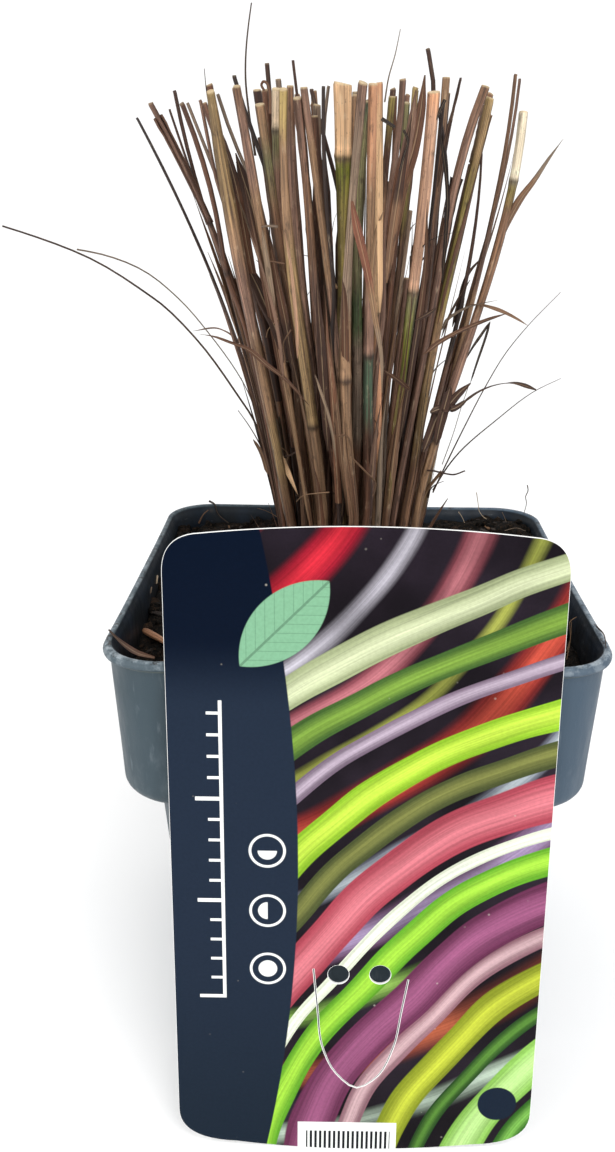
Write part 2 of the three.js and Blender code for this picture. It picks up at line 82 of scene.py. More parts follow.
# The colours of the dry stems, leaves and straw
PALETTE = {
    "cream": srgb(200, 178, 150), "straw": srgb(206, 167, 127), "tan": srgb(140, 109, 81),
    "orange": srgb(200, 146, 110), "pink": srgb(184, 143, 116), "mauve": srgb(112, 84, 69),
    "brown": srgb(113, 83, 61), "rust": srgb(101, 67, 48), "dark": srgb(60, 39, 29),
    "black": srgb(38, 29, 26), "olive": srgb(118, 104, 54), "lime": srgb(101, 103, 30),
    "sage": srgb(112, 108, 74), "grey": srgb(118, 101, 85), "green": srgb(78, 94, 56),
    "teal": srgb(64, 82, 62), "yellow": srgb(166, 142, 88), "umber": srgb(86, 57, 41),
    "hay": srgb(134, 109, 74), "clay": srgb(132, 101, 84), "ash": srgb(141, 119, 98),
    "ivory": srgb(210, 196, 170), "copper": srgb(122, 76, 57),
}


def make_draw(seed):
    """A repeatable draw between 0 and 1."""
    state = seed

    def draw():
        nonlocal state
        state = (state * 1664525 + 1013904223) % 4294967296
        return state / 4294967296
    return draw


def placed(rows):
    """Rows whose first item is a line of places, such as "-4,189 -3.8,176", read into numbers."""
    return [([tuple(map(float, place.split(","))) for place in line.split()], *rest) for line, *rest in rows]


def one_of(items, draw):
    return items[int(draw() * len(items))]


def lerp(low, high, share):
    return low + (high - low) * share


def smoothstep(value, low, high):
    share = np.clip((value - low) / (high - low), 0, 1)
    return share * share * (3 - 2 * share)


# The pot's outlines, as half-widths and heights
COLLAR_FOOT = 70.1
SHOULDER_ROUND = 3.8
BEAD_HEIGHT = 1.9
LIP_WIDTH = 1.35
WALL = 1.1
FLOOR = 1.6
EDGE_ROUND = 0.8
CORNER_SHARE = 0.23
CORNER_FLARE = 0.5
CORNER_STEPS = 14
SIDE_STEPS = 12
DRAINS = [(21, 21, 4.0), (25, 0, 3.0)]
GAP = 0.3

# The soil's surface
SOIL_LEVEL = 90.3
SOIL_FALL = (0.01, 0.075)
SOIL_WAVES = [(0.55, 0.2), (0.25, -0.6), (0.7, 0.5)]
SOIL_SWELL = 0.35
SOIL_MOUND = (1.0, 20)
CORNER_MOUND = (2.2, 13, 38, 36)
SOIL_RINGS = 56

# The lattice of the culms and the fan that it grows into
CROWN = (-1, 2)
CULM_SPACING = 2.1
LATTICE_TURN = 0.19
TILLER_RINGS = 2
TILLER_SEED = 101
TILLER_SEED_STEP = 17
CULM_FOOT = 84
CULM_RADIUS = (0.58, 0.92)
CULM_TOP_SHARE = 0.88
FAN_START = 89
FAN_HEIGHT = 99
FAN_SPREAD = 1.35
FAN_POWER = 1.4
FAN_LEAN = (-2.2, 0.5)
FAN_TWIST = 0.24
CLUMP_RADIUS = 13.5
OUTER_RING = 10.8
LEFT_PUSH = 0.1
SWAY = 2.4
SWAY_WAVE = 0.1
SWAY_PHASE = (0.4, 1.9)
WANDER = 0.85
BOW = 0.25
BOW_WAVE = 3
TALL_SHARE = 0.05
BROKEN_SHARE = 0.14
BROKEN_TOPS = (112, 167)
CUT_LEVEL = 187.2
CUT_SPREAD = 3.2
NEIGHBOURS = [(0, 0), (1, 0), (0, 1), (-1, 1), (-1, 0), (0, -1), (1, -1)]

# What the blades of the outermost culms are drawn between
BLADE_FEET = (100, 150)
BLADE_LENGTHS = (22, 44)
BLADE_WIDTHS = (1.3, 2.2)
BLADE_SLANTS = (0.1, 0.55)

# The headings in degrees of the culms at the front whose blades arch out. Those blades are among
# the shown ones.
FRONT_ARCHES = [183, 163, 212, 203, 2, -16, 14, -30, 28]

# The other blades that arch out: how far out and up they reach from their foot, the way they
# head in degrees, the height of their foot, their width and their colour
ARCHING_BLADES = placed([
    ("0,0 5,16 13,26 23,30 31,28", 62, 118, 1.6, "tan"),
    ("0,0 4,14 11,25 20,32 28,35", 104, 126, 1.4, "brown"),
    ("0,0 5,8 12,12 20,11", 136, 132, 1.6, "mauve"),
    ("0,0 4,10 9,17 15,20", 248, 139, 1.6, "umber"),
    ("0,0 3,9 8,16 14,19", 297, 150, 1.4, "tan"),
])

# The culms that show on their own. Places are across and up on the plane through the
# clump's middle, as they look from the front, from the cut down. Then come the thickness
# at the cut and at the foot, how far forward the culm stands from 0 to 1, and its colours
# from the cut down, with the heights where they change: o marks a node there. A height with
# an equals sign gives the thickness there.
SIGHT_PLANE = 4.0
SHOWN_CULMS = placed([
    ("-41,183 -34,168 -30,160 -25.5,148 -21.5,135", 0.5, 0.9, 0.2, "black 150 dark"),
    ("-38.5,185.5 -34.5,177.5 -30,169 -25,156 -22,146.5", 0.9, 1.2, 0.5, "mauve o166 rust"),
    ("-35,184.5 -31,170.5 -27,160", 0.4, 0.9, 0.3, "dark 165 umber"),
    ("-34,187.5 -33,181 -30,170 -27.5,161.5", 0.6, 1, 0.6, "dark 172 brown"),
    ("-33,185.5 -30.5,180 -29,173.5 -26.5,161.5", 0.8, 1.2, 0.7, "umber o158 rust"),
    ("-32,185.5 -29.5,180.5 -28,175.5", 0.6, 1, 0.4, "grey 172 brown"),
    ("-29.5,186 -28,177.5", 0.6, 1, 0.5, "mauve 160 brown"),
    ("-27.5,187.5 -26.6,178 -25,170 -24,162 -22.2,155.9 -21.2,147.4 -19,135.5 -17.6,127.8 -14.6,111.7",
     1.3, 1.5, 1, "yellow 185.3 hay 168 tan 161 clay 148 tan 132 hay 118 brown 178=2.0 166=2.6 150=2.1"),
    ("-26.5,187 -25,184 -24,179.5 -22,176", 0.6, 1.2, 0.4, "grey 170 mauve"),
    ("-23.3,176 -21.5,172 -19.5,164", 0.6, 1.6, 0.7, "dark 168 umber 140 rust"),
    ("-23.5,190 -22,186.5 -20.3,180.5 -18.4,176.2 -16.9,171.9 -14.8,166 -13,158",
     0.7, 1.6, 0.8, "black 150 dark"),
    ("-23,188.4 -22.1,184.3 -21.2,178 -20.4,172 -18.8,165 -17.9,158.1 -17,150.7 -15.4,141.8 -12.4,124 "
     "-10.3,111.8", 1.2, 0.8, 1, "brown 184 clay 172 tan 130 brown 172=1.8 150=1.4"),
    ("-18.9,185.5 -18.1,180 -17.3,175.5 -16.8,169.5 -15.9,164", 1.6, 1.5, 0.9, "tan 179 sage 172 brown"),
    ("-17.5,192 -17,187.5 -16.5,180", 0.8, 1.2, 0.4, "dark 170 umber"),
    ("-17.9,187.8 -17.2,181 -16.4,173.5", 1.2, 1.5, 0.8, "rust 180 brown 160 rust"),
    ("-15.9,188 -15.8,180.5 -15.9,172.2 -15.4,164.2 -14.4,158.1 -13.6,151.8",
     1.45, 1.4, 1, "cream o180.5 sage 176.5 clay 168 pink 160 tan"),
    ("-15.5,189.5 -15.3,188 -14,176", 1, 1.3, 0.3, "grey 178 umber"),
    ("-14.7,188 -14.5,180 -14.4,172.2 -14,164.3 -12.9,156 -12.1,146 -10.2,135.6 -8.2,122.7 -7.4,111.8",
     1.3, 1.8, 1.05, "yellow 181 tan 163 hay o131 tan 172=1.4 158=2.1 135=2.2"),
    ("-13.5,188.5 -13.1,184 -12.9,173.2 -12.8,166.3 -12.2,160.2 -10.9,151 -9.5,140",
     1.1, 1.4, 0.95, "brown 182 clay 150 mauve 176=1.7 165=2.3 148=2.0"),
    ("-13,192.5 -12,188 -11.5,181.5", 0.5, 1, 0.4, "dark"),
    ("-12.3,186.6 -11.5,183 -10.8,177.5 -10,168 -9.4,158.2 -8.5,146 -6.5,133.1 -4.5,117.4",
     1.4, 1.5, 0.9, "mauve 176 brown 160 mauve 146 clay 134 umber"),
    ("-10.9,188.3 -10.1,182 -9,175.5 -7.9,168 -6.8,161.3 -6,154 -5.3,148 -4,140.5 -2.9,130.6 -2.2,125.4 "
     "-1.6,117.4 -0.6,109.1", 1.2, 1.5, 1.05, "clay 180 tan 155 clay 142 tan 126 brown"),
    ("-8.9,183.7 -8.4,176 -7.6,168.5 -6.6,160 -5.9,150", 1.2, 1.3, 0.8, "umber 172 brown"),
    ("-8.6,185.5 -8.4,181.4 -8.5,176.7 -8.6,171.2", 1.3, 1.3, 0.7, "grey 178 umber"),
    ("-7.5,188.5 -7,178 -7,170.3 -6.3,162.3 -5.4,158.2", 0.6, 1, 1, "black"),
    ("-10,188 -7.5,183 -5.5,174", 0.7, 1.1, 0.6, "dark"),
    ("-6.5,188.5 -7,184.5", 0.6, 1, 0.4, "grey 176 dark"),
    ("-4,189 -3.8,176.4 -3.6,164.4 -3.7,158.2 -3.8,149.8 -3.6,138",
     3, 1.2, 0.92, "straw o176.5 lime 171 olive 150 hay 177=2.8 167=1.9 155=1.4"),
    ("-0.3,189.2 -0.8,183.4 -1.6,176.2 -2.2,168 -2.4,158.2 -2.5,148 -2.7,139 -2.8,128 -1.8,120 -0.7,111.9",
     1.5, 2, 1.1, "mauve 182 ash 152 tan o140.5 tan 124 brown 164=1.3 150=2.1 136=2.2"),
    ("0.6,186.2 0.1,183 -0.4,177.6 -0.7,170.4 -0.8,160.3 -0.8,147.7 -0.3,137 -0.1,125.4 -0.1,114.7",
     1.4, 1.8, 0.85, "teal 182 sage 156 green 148 grey 128 umber 170=2.1 150=2.1"),
    ("-1.5,187.1 -1.7,181.5 -1.9,174", 1.4, 1.4, 0.5, "tan 180 brown"),
    ("1.5,189 1.3,178.2 1.5,170.4 1.6,160.4 1.8,149.8 1.8,140.8 1.8,132 2.1,122.8 2.5,114.7",
     1.5, 1.9, 1, "orange 174 tan 156 clay o144.7 teal 131 umber 165=1.5 145=1.9"),
    ("2.6,189.2 2.7,178.2 3.1,164.5 3.4,151.4 3.6,144.5 3.8,138.3 3.8,130.7 3.9,122.9 4.3,113.4",
     1.2, 1.8, 1.2, "orange 184 straw o151.4 sage 147.5 orange 122 tan 165=1.6"),
    ("4.9,187 4.6,181.5 4.1,175.7", 1.2, 1.3, 0.8, "olive 181 umber 172 brown"),
    ("5.5,187 5.5,178", 0.6, 1, 0.5, "umber"),
    ("6.7,189.8 6.5,183.4 5.9,177.9 5,170 4.5,164.5 4.3,154.1", 1.1, 0.9, 1, "mauve 183 clay 160 mauve"),
    ("7.5,186 7.5,182 7,175", 1.1, 1.4, 0.9, "sage 178 green 172 umber"),
    ("9,188.5 8.5,178", 1, 1.4, 0.6, "yellow 180 olive 166 brown"),
    ("11,194.5 11.5,191 12.5,188.5 12,180", 0.8, 1.2, 0.5, "dark"),
    ("8.9,168 8.7,164.5 7.9,157 7.1,149 6.3,142 5.8,133 5.4,122.9",
     0.8, 1.3, 0.95, "ash 150 clay 135 grey"),
    ("12.4,187.8 12.1,182.4 11.7,176 11.3,168 10.7,159 9.7,150 8.9,142 8.2,133 7.4,124 6.5,112",
     2.1, 1.5, 1, "orange 184 pink o155.2 sage 150 lime 140 olive 118 brown"),
    ("8.7,156 8.1,148.2 7.7,142.1 7.1,133.3", 1.3, 1.4, 0.8, "mauve"),
    ("14.5,186.5 13,176 13,165", 0.5, 1, 0.9, "black"),
    ("13.5,184.5 15,176 16,169.5 15.5,160.5", 0.6, 1.1, 0.9, "black 150 dark"),
    ("17,190 16,185 15,179 14,165", 0.5, 1, 0.4, "dark"),
    ("14.5,190.1 14.3,185.4 13.8,178.3 13.3,166.6 12.7,152.1 12,143.4 11.1,133 10.1,121.6 9.5,109.3",
     1.4, 1.7, 0.9, "tan 182 brown 168 mauve 150 clay 130 mauve"),
    ("21.5,188.8 20.2,184.7 18.6,179.4 17.4,174.7 16.6,170.3 15.6,163 14.6,156",
     1.5, 1.4, 0.95, "brown 183 clay 160 mauve"),
    ("22.3,187 21.6,182.8 20.8,177.8 19.7,171 18.4,165 16.6,157 15.3,150 14.4,141 13.3,130.8 11.8,122",
     1.5, 1.9, 1, "yellow 185.6 hay 174 olive 150 tan 142 hay 125 brown"),
    ("19.5,176 16.5,159.5 14,146", 0.6, 1.1, 0.5, "umber"),
    ("21.5,178 21.4,166.5 20.6,158 18.7,148.3 17.4,140.2 16.1,134 15,127 13.4,120.3 12,112",
     0.4, 1.9, 0.9, "dark 155 black 142 mauve 128 clay 116 brown"),
    ("26.6,190.7 26.6,186.7 26.2,181.8 25.5,175.9 24.8,170 23.3,161 21,150 18.6,137.3 16.4,126 14.2,112.1",
     0.6, 1.9, 0.8, "brown 168 mauve 155 tan 137 dark 128 hay 114 brown"),
    ("27.5,190 27.3,186.3 26.9,181.8 25.6,173", 0.5, 1.2, 0.3, "mauve 180 brown"),
    ("28.6,184.7 28.3,178 27.5,172 26.4,165 24.5,156.5 22,146.5 19,137 16.5,127 14.5,119",
     1.5, 1.7, 0.95, "ivory o173.2 olive 169 brown 150 clay 136 dark o127 tan"),
])

# Leaf blades that lie along the clump's face or bend out of it, in the same places. Then
# come their widths at the start, the middle and the end, their depth, and their colours.
# The depth is how far forward they lie from 0 to 1, or the y of their start and end.
SHOWN_BLADES = placed([
    ("-27.5,184 -25.6,179 -23.5,172 -21.5,160.5 -19,148", (0.8, 2, 0.8), 1.1, "dark 172 rust"),
    ("-23.9,160.4 -22,158 -20.1,154.6 -18.3,150.5 -16.4,146 -14.9,140.2", (0.5, 2.9, 1.2), 1.15, "dark"),
    ("-2,169.5 -0.9,164.6 0.3,160.3 1.6,155 3,148 4.2,142 4.7,134",
     (1.6, 1.2, 0.5), 1.3, "copper 157 tan 150 ash"),
    ("-23.4,177.4 -22.4,174 -20.9,169.5 -19.4,164 -17.5,155", (0.8, 3, 2), 1.05, "dark 166 umber"),
    ("-20.5,168 -18.6,160 -16.8,152 -15.5,144 -14.8,136", (0.6, 2.4, 1.4), 1.05, "umber 158 dark"),
    ("-17.5,163 -15.8,154 -14.2,146 -13,137", (0.5, 1.6, 0.8), 1, "umber 150 dark"),
    ("10.6,190.4 10,183.7 9,178.3 7.2,172.5 6.3,166.8 5.2,158",
     (1, 2.4, 1.9), 1, "umber 174 brown 166 umber"),
    ("9.1,188 8.5,182.4 7.4,176.6 6.4,169.8 5.4,160", (0.8, 2.1, 2), 1.05, "mauve 176 rust"),
    ("8.6,184 7.6,178 6.6,171 5.6,163 4.9,155", (0.4, 1.7, 1.3), 1.1, "dark 170 brown"),
    ("-23.5,170.5 -22.1,167 -20.5,162.2 -18,154.3 -16.7,149.6", (0.2, 0.5, 0.4), 1.15, "ash"),
    ("-21.2,164.2 -18.9,157.4 -16.7,149.3 -15.5,142.2 -15,136.3", (0.3, 0.6, 0.6), 1.35, "clay"),
    ("-18.8,164.3 -18.3,160.9 -17.7,156.6 -17,152.2 -16.6,149.3", (0.6, 1.1, 0.6), 1.3, "ash"),
    ("-15,138.3 -14.1,133.6 -12.4,122.4 -11.6,117.8 -10,107.1", (0.5, 0.6, 0.5), 1.3, "tan"),
    ("-8.7,137.4 -7.6,134.2 -6.4,130.8 -5.4,126.9 -4.3,119.9", (0.4, 0.6, 0.3), 1.3, "ash"),
    ("-14.5,164 -13.5,158.5 -12.9,153.1 -12.4,147.8 -12.2,140.6", (0.3, 0.6, 0.5), 1.3, "pink"),
    ("3.1,182 3.2,172 3.4,162 3.7,155 3.8,149.5", (0.6, 1, 0.8), 1.3, "straw 152 clay"),
    ("17.2,190.2 16.4,186.5 15.6,183.8 14.6,178.9 13.8,172", (0.15, 0.6, 0.6), 0.7, "dark"),
    ("13.7,181.6 14.8,176.7 15.8,170.3 15.8,164.7 15.6,155", (0.5, 0.8, 0.5), 1, "black"),
    ("23,160 20.5,157 19,151.5 18,147", (0.3, 0.9, 0.6), 0.9, "dark"),
    ("10.5,148 12.5,149 14.8,150.6", (0.4, 0.9, 0.3), 1.1, "dark"),
    ("16,146.4 16.8,148.1 18.9,149.7 21.1,150.8 22.9,151.3 26.9,152.2", (0.7, 0.7, 0.15), (-8, -9), "grey"),
    ("19.5,151.1 22.9,151.2 25.5,150.6 28.4,149.6 30.7,148.5 32.7,147.4",
     (0.3, 1, 0.3), (-8, -10), "brown"),
    ("12.5,141.5 15.7,144.1 18.5,145.7 21.9,147.3 24.1,148.2 28.3,149.6",
     (0.9, 0.8, 0.5), (-13, -10), "umber"),
    ("25.3,148.1 23.6,145.4 21.9,142.6 21.2,141", (0.5, 0.6, 0.2), (-10, -8), "black"),
    ("25.3,148.1 24.6,145.1 23.3,140.4 22.2,136.2", (0.5, 0.5, 0.35), (-10, -9), "black"),
    ("13.5,122 14.7,125.6 16.2,129.6 18.3,131.9 19.9,133.9 22.3,136.2",
     (1.6, 2.2, 0.9), (-12, -11), "dark"),
    ("18.3,135.5 17.5,132 16.6,127.5 16,123.5", (1.4, 2, 1.3), (-13, -12), "dark"),
    ("14.5,130.2 16.4,130.9 19.1,131 21.9,132.9", (1.6, 1.4, 0.6), (-13, -12), "dark"),
    ("20.5,131.8 24.1,134.5 27.2,135.8 31.4,136.2 33.4,135.7 35.4,135", (0.7, 0.45, 1), (-11, -13), "dark"),
    ("20.9,155.8 18.6,151.8 16.9,148.1 16,145", (0.3, 0.5, 0.4), (-6, -8), "dark"),
    ("20,154.2 19.8,151.2 18.5,145.7 17.2,139.7", (0.3, 0.45, 0.4), (-7, -9), "black"),
    ("24.2,157 26,163 27.7,167.1 29.2,170 31.7,173.5 33.8,176.9 36.2,180.4",
     (0.7, 1.6, 0.2), (-7, -12), "grey 174 brown 165 umber"),
    ("-31.4,145 -28.8,144.6 -25.3,143.4 -21.8,142.1 -18.3,139.2 -14.8,136.6 -9.9,131.3",
     (0.4, 1.1, 0.4), (-12, -17), "umber"),
    ("5,138.5 8,136.5 10.5,134.5", (0.7, 1.1, 0.7), 1.25, "umber"),
    ("-21.3,124.2 -20.3,122.6 -19.5,121 -18.4,117", (0.5, 0.9, 0.9), (-3, -6), "brown"),
    ("-15.9,121.2 -15,119 -14.1,117.1 -12.2,112.6", (1.5, 1, 0.2), 1.15, "straw 114 tan"),
    ("-24,150 -21.5,141 -19.5,130 -17.5,116", (0.4, 1.4, 1.2), 0.9, "brown 130 umber"),
    ("-8.4,157 -8.2,151.7 -7.6,144.2 -7.1,136.4 -6,122", (0.3, 2, 1.4), 1.1, "dark"),
    ("12,170 12.2,158 10.5,140 8.6,124", (0.3, 1.3, 1), 1.05, "umber 150 dark"),
])

# Hairs and thin shreds, in the same places, with their thickness at the start and the end,
# their depth and their colour
SHOWN_HAIRS = placed([
    ("-67.7,164.4 -62,162.7 -50.8,158.4 -40.9,152.3 -38.4,150.5 -31.5,143.4 -24.4,133.4 -20.8,127.6 "
     "-18.4,120", (0.3, 0.42), (-27, -4), "dark"),
    ("-54,160.4 -49.4,159.6 -41.6,156.7 -35,151.5 -29.4,145 -22.4,134.4 -19.4,126",
     (0.3, 0.18), (-15, -2), "grey"),
    ("-20,201.2 -20.6,197.8 -21.1,194 -21.3,190 -20.8,183.9 -19.8,177", (0.22, 0.45), (-6, -8), "dark"),
    ("15.9,113.5 18.4,119.8 21.3,126.7 25.3,135.6 28.7,142 32.7,147.4 38.4,153.7",
     (0.34, 0.1), (-5, -13), "dark"),
    ("15.9,114 18.7,119.1 20.9,122.1 27.8,128.7 35.4,134.9 40.1,137.3", (0.36, 0.1), (-4, -12), "dark"),
    ("17.5,119.5 19.4,125.9 20.7,131.3 22,135.9", (0.18, 0.12), (-5, -9), "grey"),
    ("14.5,118.2 15.8,118.1 17.5,117.7 20.2,117.4 22.3,118.2", (0.4, 0.3), (-7, -9), "dark"),
    ("-24.2,130.1 -22.2,127.2 -20.5,124.3 -18.6,120", (0.14, 0.3), (-5, -6), "dark"),
    ("-28.6,191 -28.3,187 -27.5,183 -26.5,178", (0.12, 0.3), 0.6, "dark"),
    ("6,197.5 5.2,193.5 4.2,190 3.6,186", (0.12, 0.3), 0.3, "grey"),
    ("17.5,118 14.5,113.5 13,105.5", (0.7, 0.7), 1, "tan"),
    ("-15,120.6 -13.6,121.1 -12,122.1", (0.35, 0.3), 1.15, "dark"),
    ("-12.5,111.1 -11.3,112.3 -8.6,112.9 -5.7,113.2", (0.22, 0.28), 1.2, "tan"),
    ("-19.4,164.7 -17.7,165 -15.9,164.9", (0.3, 0.5), 1.1, "grey"),
    ("-19.3,158.9 -17.2,158.7 -14.6,158.3", (0.25, 0.3), 1.1, "brown"),
    ("-18.3,144.6 -17.9,146 -16.9,147.1 -16,148.2", (0.25, 0.2), 1.15, "tan"),
    ("-18,187.6 -18.5,188.6 -18.1,189.1 -17.5,188.8 -17.2,188.1 -17,184", (0.4, 0.5), 1, "rust"),
    ("3.2,183.3 4.3,182.7 5.5,182", (0.6, 0.5), 1.15, "black"),
    ("7.2,181.5 8,179.7 7.4,177.4 6.7,174.8", (0.4, 0.4), 1.1, "black"),
    ("14.4,186.5 13.6,184.9 12.9,183.3", (0.6, 0.5), 0.9, "black"),
    ("-4,125 -2.5,125.3 -1.3,123 -1.2,121", (0.4, 0.3), 1.2, "brown"),
    ("-1,120.5 2,117.5 4,115 3.5,112.5", (0.35, 0.4), 1.2, "brown"),
    ("-13.5,146 -15,143 -14.6,140", (0.3, 0.25), 1.2, "brown"),
])

# The straw on the soil and the dry leaf on the corner of the rim
DEBRIS_SEED = 77
STRAW_ENDS = [(-42.2, -15.2), (-33.0, -25.0)]
STRAW_RADIUS = 0.65
DRY_LEAF_WIDTHS = [0.35, 0.5, 0.8, 1.0, 0.9, 0.4]
DRY_LEAF_POINTS = [
    (-44.9, -32.9, 0.1), (-43.5, -35.1, 0.0), (-41.9, -37.2, -0.2),
    (-40.0, -39.5, -0.3), (-37.9, -42.0, -0.1), (-34.6, -44.3, 0.2),
]

# The label's outline, holes and cut tongue, measured across and up the card
LABEL_SHIFT = 1.0
LABEL_BOW = 1.8
LABEL_EDGE_RISE = 0.2
LABEL_TOP_ROUND = 6.4
LABEL_FOOT_ROUND = (11.0, 7.0)
LABEL_HOLE_RADIUS = 1.95
LABEL_HOLES = [(-3.5, 38.9), (4.2, 39.0)]
TONGUE_SLIT = 0.2
TONGUE_POINTS = [
    (-8.1, 40.0), (-7.3, 31.5), (-6.3, 23.2), (-3.6, 17.3), (0.4, 14.2),
    (3.6, 16.2), (7.0, 23.2), (8.3, 31.0), (9.4, 38.0),
]

# The camera, in the picture of 615 by 1152 pixels
PICTURE = (615, 1152)
FOCAL_PIXELS = 1000
PICTURE_MIDDLE = (333.33, 606.55)
CAMERA_PLACE = (-3.635, -196.716, 173.813)
EYE = [round(value, 1) for value in CAMERA_PLACE]
CAMERA_PITCH = 0.4069
CAMERA_YAW = -0.0044
CAMERA_ROLL = 0.0121
SENSOR = 36


def size_value(name, description, millimetres):
    return FloatProperty(name=name, description=description, default=millimetres * MM,
                         min=0, precision=5, subtype="DISTANCE", unit="LENGTH")


def share_value(name, description, default, most=1.0):
    return FloatProperty(name=name, description=description, default=default,
                         min=0, max=most, subtype="FACTOR")


def colour_value(name, description, red, green, blue):
    return FloatVectorProperty(name=name, description=description, default=srgb(red, green, blue),
                               size=3, min=0, max=1, subtype="COLOR")


def count_value(name, description, default, least=0):
    return IntProperty(name=name, description=description, default=default, min=least)


class GrassPotSettings(bpy.types.PropertyGroup):
    height: size_value("Height", "Height of the pot", 97.5)
    rim: size_value("Rim", "Half of the pot's width over the rim", 45.1)
    collar: size_value("Collar", "Half of the collar's width below the rim", 44.1)
    collar_foot: size_value("Collar foot", "Half of the collar's width at its lower edge", 43.6)
    body: size_value("Body", "Half of the body's width under the collar", 37.9)
    base: size_value("Base", "Half of the width of the base", 34.0)
    # Painted light and shade: Plastic is the pot's colour on its left, Shadow side the lighter, bluer colour
    # on its right
    plastic: colour_value("Plastic", "Colour of the pot", 50, 65, 73)
    shadow_side: colour_value("Shadow side", "Colour of the pot on its other side", 58, 76, 92)
    dust: colour_value("Dust", "Colour of the dust and the worn lip", 172, 182, 188)
    dirt: share_value("Dirt", "How much soil sticks to the pot", 0.75)


class GrassSoilSettings(bpy.types.PropertyGroup):
    peat: colour_value("Peat", "Colour of the soil", 13, 11, 9)
    bark: colour_value("Bark", "Colour of the bits of bark", 48, 36, 28)
    crumbs: count_value("Crumbs", "Crumbs for each square centimetre", 26)
    chips: count_value("Chips", "Bits of bark for each square centimetre", 4)


class GrassClumpSettings(bpy.types.PropertyGroup):
    thickness: share_value("Thickness", "Scale of the thickness of the culms", 1.0, 2.0)
    inner_blades: count_value("Inner blades", "Dry blades between the culms", 220)
    shreds: count_value("Shreds", "Torn shreds round the foot of the clump", 70)
    hairs: count_value("Hairs", "Loose hairs in the clump", 90)
    seed: count_value("Seed", "Seed of what is drawn at random", 31, 1)


class GrassLabelSettings(bpy.types.PropertyGroup):
    width: size_value("Width", "Width of the label", 67.5)
    length: size_value("Length", "Length of the label", 122.7)
    thickness: size_value("Thickness", "Thickness of the card", 0.55)
    tilt: FloatProperty(name="Tilt", description="How far the label leans back", default=math.radians(8.2),
                        subtype="ANGLE", unit="ROTATION")
    navy: colour_value("Navy", "Colour of the plain strip", 27, 38, 54)
    plum: colour_value("Plum", "Ground colour of the picture", 40, 32, 42)
    badge: colour_value("Badge", "Colour of the badge", 118, 165, 132)
    card: colour_value("Card", "Colour of the bare card", 238, 238, 236)


class GrassStageSettings(bpy.types.PropertyGroup):
    floor: colour_value("Floor", "Colour of the floor", 253, 253, 253)
    key: FloatProperty(name="Key light", description="Power of the large light", default=5.5, unit="POWER")
    fill: FloatProperty(name="Fill light", description="Power of the small light", default=2.2, unit="POWER")
    sky: FloatProperty(name="Sky", description="Strength of the light from all around", default=0.85, min=0)


def arithmetic(operation, swapped=False):
    """A method of Wire that adds one node of maths."""
    def method(wire, other=0.0):
        first, second = (other, wire) if swapped else (wire, other)
        return wire.graph.maths(operation, first, second)
    return method


class Wire:
    """What a node puts out, for use in plain arithmetic."""

    def __init__(self, graph, socket):
        self.graph = graph
        self.socket = socket

    __add__ = __radd__ = arithmetic("ADD")
    __sub__ = arithmetic("SUBTRACT")
    __rsub__ = arithmetic("SUBTRACT", True)
    __mul__ = __rmul__ = arithmetic("MULTIPLY")
    __truediv__ = arithmetic("DIVIDE")
    __pow__ = arithmetic("POWER")
    __abs__ = arithmetic("ABSOLUTE")


class Graph:
    """A tree of nodes that is written as formulas."""

    def __init__(self, tree):
        self.tree = tree

    def feed(self, socket, value):
        if isinstance(value, Wire):
            self.tree.links.new(value.socket, socket)
        elif socket.type == "RGBA" and len(value) == 3:
            socket.default_value = (*value, 1)
        else:
            socket.default_value = value

    def node(self, kind, inputs=None, **settings):
        made = self.tree.nodes.new(kind)
        for name, value in settings.items():
            setattr(made, name, value)
        for socket, value in (inputs or {}).items():
            self.feed(made.inputs[socket], value)
        return made

    def wire(self, kind, inputs=None, out=0, **settings):
        return Wire(self, self.node(kind, inputs, **settings).outputs[out])

    def maths(self, operation, first, second=0.0):
        return self.wire("ShaderNodeMath", {0: first, 1: second}, operation=operation)

    def most(self, first, second):
        return self.maths("MAXIMUM", first, second)

    def parts(self, vector):
        split = self.node("ShaderNodeSeparateXYZ", {0: vector})
        return [Wire(self, split.outputs[i]) for i in range(3)]

    def vector(self, x, y, z=0.0):
        return self.wire("ShaderNodeCombineXYZ", {0: x, 1: y, 2: z})

    def scaled(self, vector, x, y, z):
        return self.wire("ShaderNodeVectorMath", {0: vector, 1: (x, y, z)}, operation="MULTIPLY")

    def moved(self, vector, step):
        return self.wire("ShaderNodeVectorMath", {0: vector, 1: step}, operation="ADD")

    def step(self, value, low, high, start=0.0, end=1.0):
        limits = {0: value, 1: low, 2: high, 3: start, 4: end}
        return self.wire("ShaderNodeMapRange", limits, interpolation_type="SMOOTHSTEP")

    def noise(self, vector, scale=1.0, detail=3.0, roughness=0.5):
        values = {"Vector": vector, "Scale": scale, "Detail": detail, "Roughness": roughness}
        return self.wire("ShaderNodeTexNoise", values)

    def cells(self, vector, scale, feature="F1"):
        return self.wire("ShaderNodeTexVoronoi", {"Vector": vector, "Scale": scale}, feature=feature)

    def mix(self, share, first, second):
        return self.wire("ShaderNodeMix", {0: share, 6: first, 7: second}, out=2, data_type="RGBA")

    def tinted(self, colour, share):
        return self.wire("ShaderNodeVectorMath", {0: colour, 3: share}, operation="SCALE")

    def attribute(self, name, out):
        return self.wire("ShaderNodeAttribute", out=out, attribute_name=name)

    def place(self):
        """The place on the object in millimetres."""
        return self.scaled(self.wire("ShaderNodeTexCoord", out=3), 1 / MM, 1 / MM, 1 / MM)


PLAIN_SHINE = 0.5


